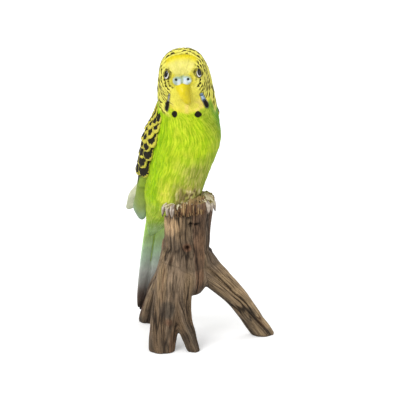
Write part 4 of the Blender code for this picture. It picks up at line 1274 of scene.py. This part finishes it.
def bark_coat(points, normal, relief, streak, rust, groove):
    """The stump's paint: brown with rust, grey and tan streaks; tan as a painted highlight on the upper left
    of the trunk and on the right root; darker in the grooves and low down; painted shade on the upper right
    of the trunk and on faces turned downwards; pale wood on top."""
    x, _, z = points.T
    broad = noise(points * 75.0, 51)
    shallow = eased((0.7 - groove) / 0.4)
    # Where the painted highlight on the trunk's upper left goes.
    left = eased((-0.001 - x) / 0.006) * eased((z - 0.066) / 0.015)
    right_root_highlight = eased((x - 0.014) / 0.01) * eased((0.05 - z) / 0.01)
    lit = eased((0.25 - groove) / 0.2) * eased((relief - 0.80) / 0.08)
    low = eased((0.050 - z) / 0.03) * (1.0 - 0.9 * eased((x - 0.010) / 0.01))
    return coated(
        points, "89755f",
        ("8f785b", eased((streak - 0.42) / 0.25) * 0.9),
        ("77523a", eased((rust - 0.50) / 0.14) * 0.6),
        ("6c6458", eased((broad - 0.48) / 0.2) * eased((0.06 - z) / 0.04) * 0.8),
        # Painted highlight: tan on the upper left of the trunk, the side towards the light.
        ("cdaa80", left * shallow * 0.85),
        # Painted highlight: tan on the right root.
        ("b59a76", right_root_highlight * shallow * 0.75),
        ("b79a72", lit * (0.15 + 0.5 * eased((broad - 0.45) / 0.3)) * eased((z - 0.01) / 0.05)),
        ("5f4b3a", low * (0.20 + 0.4 * eased((streak - 0.4) / 0.2))),
        ("33281e", eased((groove - 0.45) / 0.5) * 0.52),
        ("43352a", eased((0.60 - relief) / 0.25) * 0.35),
        # Painted shade on the upper right of the trunk.
        ("4a3b2f", eased((x - 0.006) / 0.008) * eased((z - 0.05) / 0.02) * 0.5),
        ("4a3d31", eased((broad - 0.56) / 0.1) * 0.4),
        ("4a3d30", eased((0.030 - z) / 0.03) * eased((-0.02 - x) / 0.01) * 0.45),
        # Painted shade on faces turned downwards.
        ("4d4338", eased(-normal[:, 2] * 1.6 - 0.1) * 0.7),
        ("a58f63", eased((normal[:, 2] - 0.7) / 0.2) * eased((z - 0.08) / 0.01)),
    )


def knots_and_pits(points, rise, paint):
    """Knots with a raised ring and a sunk dark middle, and ragged dark pits under the rim."""
    for x, y, z, size in KNOTS:
        away = np.linalg.norm(points - np.array([x, y, z]), axis=-1)
        rise = rise * (1.0 - 0.8 * eased((size * 1.5 - away) / size)) + 0.0010 * bump(away, size, size * 0.55)
        rise = rise - 0.0016 * eased((size * 0.8 - away) / (size * 0.6))
        paint = coats(
            paint,
            ("74503a", eased((size * 1.7 - away) / size) * 0.8),
            ("3a2619", eased((size * 0.8 - away) / (size * 0.5))),
        )
    for bearing, height in PITS:
        spoke = outward_at(np.radians(bearing))[:2] * (TRUNK_RADIUS + 0.001)
        flat = np.linalg.norm(points[:, :2] - spoke, axis=-1)
        away = np.hypot(flat * 0.65, points[:, 2] - height) + 0.0016 * (noise(points * 900.0, 77) - 0.5)
        rise = rise - 0.0020 * eased((0.0016 - away) / 0.0012)
        paint = coats(paint, ("1c130c", eased((0.0016 - away) / 0.0010) * 0.9))
    return rise, paint


def make_stump():
    """Trunk and roots in one skin with carved bark, knots and pits, cut level at the floor."""
    limbs = [limb_rings(TRUNK_AXIS, TOP_SLOPE)] + [limb_rings(root) for root in ROOTS]
    points, quads = fused(limbs, BARK_VOXEL)
    normal = quad_normals(points, quads)
    if (normal * (points - points.mean(axis=0))).sum() < 0:
        quads, normal = quads[:, ::-1], -normal
    relief, streak, rust, groove, fibre, clear = bark(points)
    on_side = eased(1.3 - np.abs(normal[:, 2]) * 1.3)
    near_rim = eased((points[:, 2] - 0.080) / 0.012)
    rise = BARK_DEPTH * (0.35 + 0.65 * on_side) * (1.0 + 0.6 * near_rim) * (relief - BARK_LEVEL)
    paint = bark_coat(points, normal, relief, streak, rust, groove)
    rise, paint = knots_and_pits(points, rise, paint)
    points = points + normal * (rise + 0.00015)[:, None]
    points[:, 2] = np.maximum(points[:, 2], 0.0)
    material = painted("bark", bark_paint, wash=0.75, crest=0.5, grain=0.4, relief="relief", depth=0.0004)
    values = {"relief": np.clip(1.6 * relief - 0.55, 0.0, 1.0), "paint": np.clip(paint, 0.0, 1.0),
              "fibre": fibre, "clear": clear}
    mesh_of("stump", points, quads.ravel(), np.full(len(quads), 4), material, values)


# Stage
def aimed(name, data, place, aim):
    """An object for a lamp or a camera, at a place and turned towards the aim."""
    obj = bpy.data.objects.new(name, data)
    obj.location = place
    obj.rotation_euler = (Vector(aim) - obj.location).to_track_quat("-Z", "Y").to_euler()
    bpy.context.scene.collection.objects.link(obj)
    return obj


def make_stage():
    """A pale floor under soft studio lights. Seen directly, the floor is lifted to white but keeps the
    shadow."""
    corners = [(-6.0, -6.0, 0.0), (6.0, -6.0, 0.0), (6.0, 6.0, 0.0), (-6.0, 6.0, 0.0)]
    mesh = bpy.data.meshes.new("floor")
    mesh.from_pydata(corners, [], [(0, 1, 2, 3)])
    floor = bpy.data.objects.new("floor", mesh)
    bpy.context.scene.collection.objects.link(floor)
    material = bpy.data.materials.new("pale_floor")
    material.use_nodes = True
    tree = material.node_tree
    seen = node(tree, "ShaderNodeLightPath").outputs["Is Camera Ray"]
    set_inputs(tree, tree.nodes["Principled BSDF"], {
        "Base Color": (0.86, 0.86, 0.86, 1.0),
        "Roughness": 0.9,
        "Specular IOR Level": 0.1,
        "Emission Color": WHITE,
        "Emission Strength": maths(tree, "MULTIPLY", seen, 0.30),
    })
    mesh.materials.append(material)
    world = bpy.context.scene.world or bpy.data.worlds.new("studio")
    bpy.context.scene.world = world
    world.use_nodes = True
    sky = world.node_tree
    direct = node(sky, "ShaderNodeLightPath").outputs["Is Camera Ray"]
    strength = maths(sky, "ADD", maths(sky, "MULTIPLY", direct, 0.38), 0.62)
    set_inputs(sky, sky.nodes["Background"], {"Color": WHITE, "Strength": strength})
    for name, place, width, power in LAMPS:
        light = bpy.data.lights.new(name, "AREA")
        light.size = width
        light.energy = power
        aimed(name, light, place, LAMP_AIM)


def make_camera():
    """A long lens, a little above the horizon and so far away that sizes hardly change with depth."""
    camera = bpy.data.cameras.new("camera")
    camera.lens = CAMERA_LENS
    camera.sensor_width = 36.0
    camera.clip_end = 40.0
    rise = math.radians(CAMERA_RISE)
    place = Vector(CAMERA_AIM) + Vector((0.0, -math.cos(rise), math.sin(rise))) * CAMERA_DISTANCE
    bpy.context.scene.camera = aimed("camera", camera, place, CAMERA_AIM)
    bpy.context.scene.view_settings.view_transform = "Standard"


def main():
    """Every piece of the figurine, then the stage and the camera."""
    brushwork_group()
    feather_group()
    body = make_body()
    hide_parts(NODE)
    for hand in (-1, 1):
        wing_shell(hand)
        make_coverts(hand)
        make_flights(hand)
    make_tail()
    make_beak()
    make_cere()
    make_eyes()
    make_feet()
    make_fringe()
    make_splinters()
    make_stump()
    make_stage()
    make_camera()


main()
bpy.context.view_layer.update()
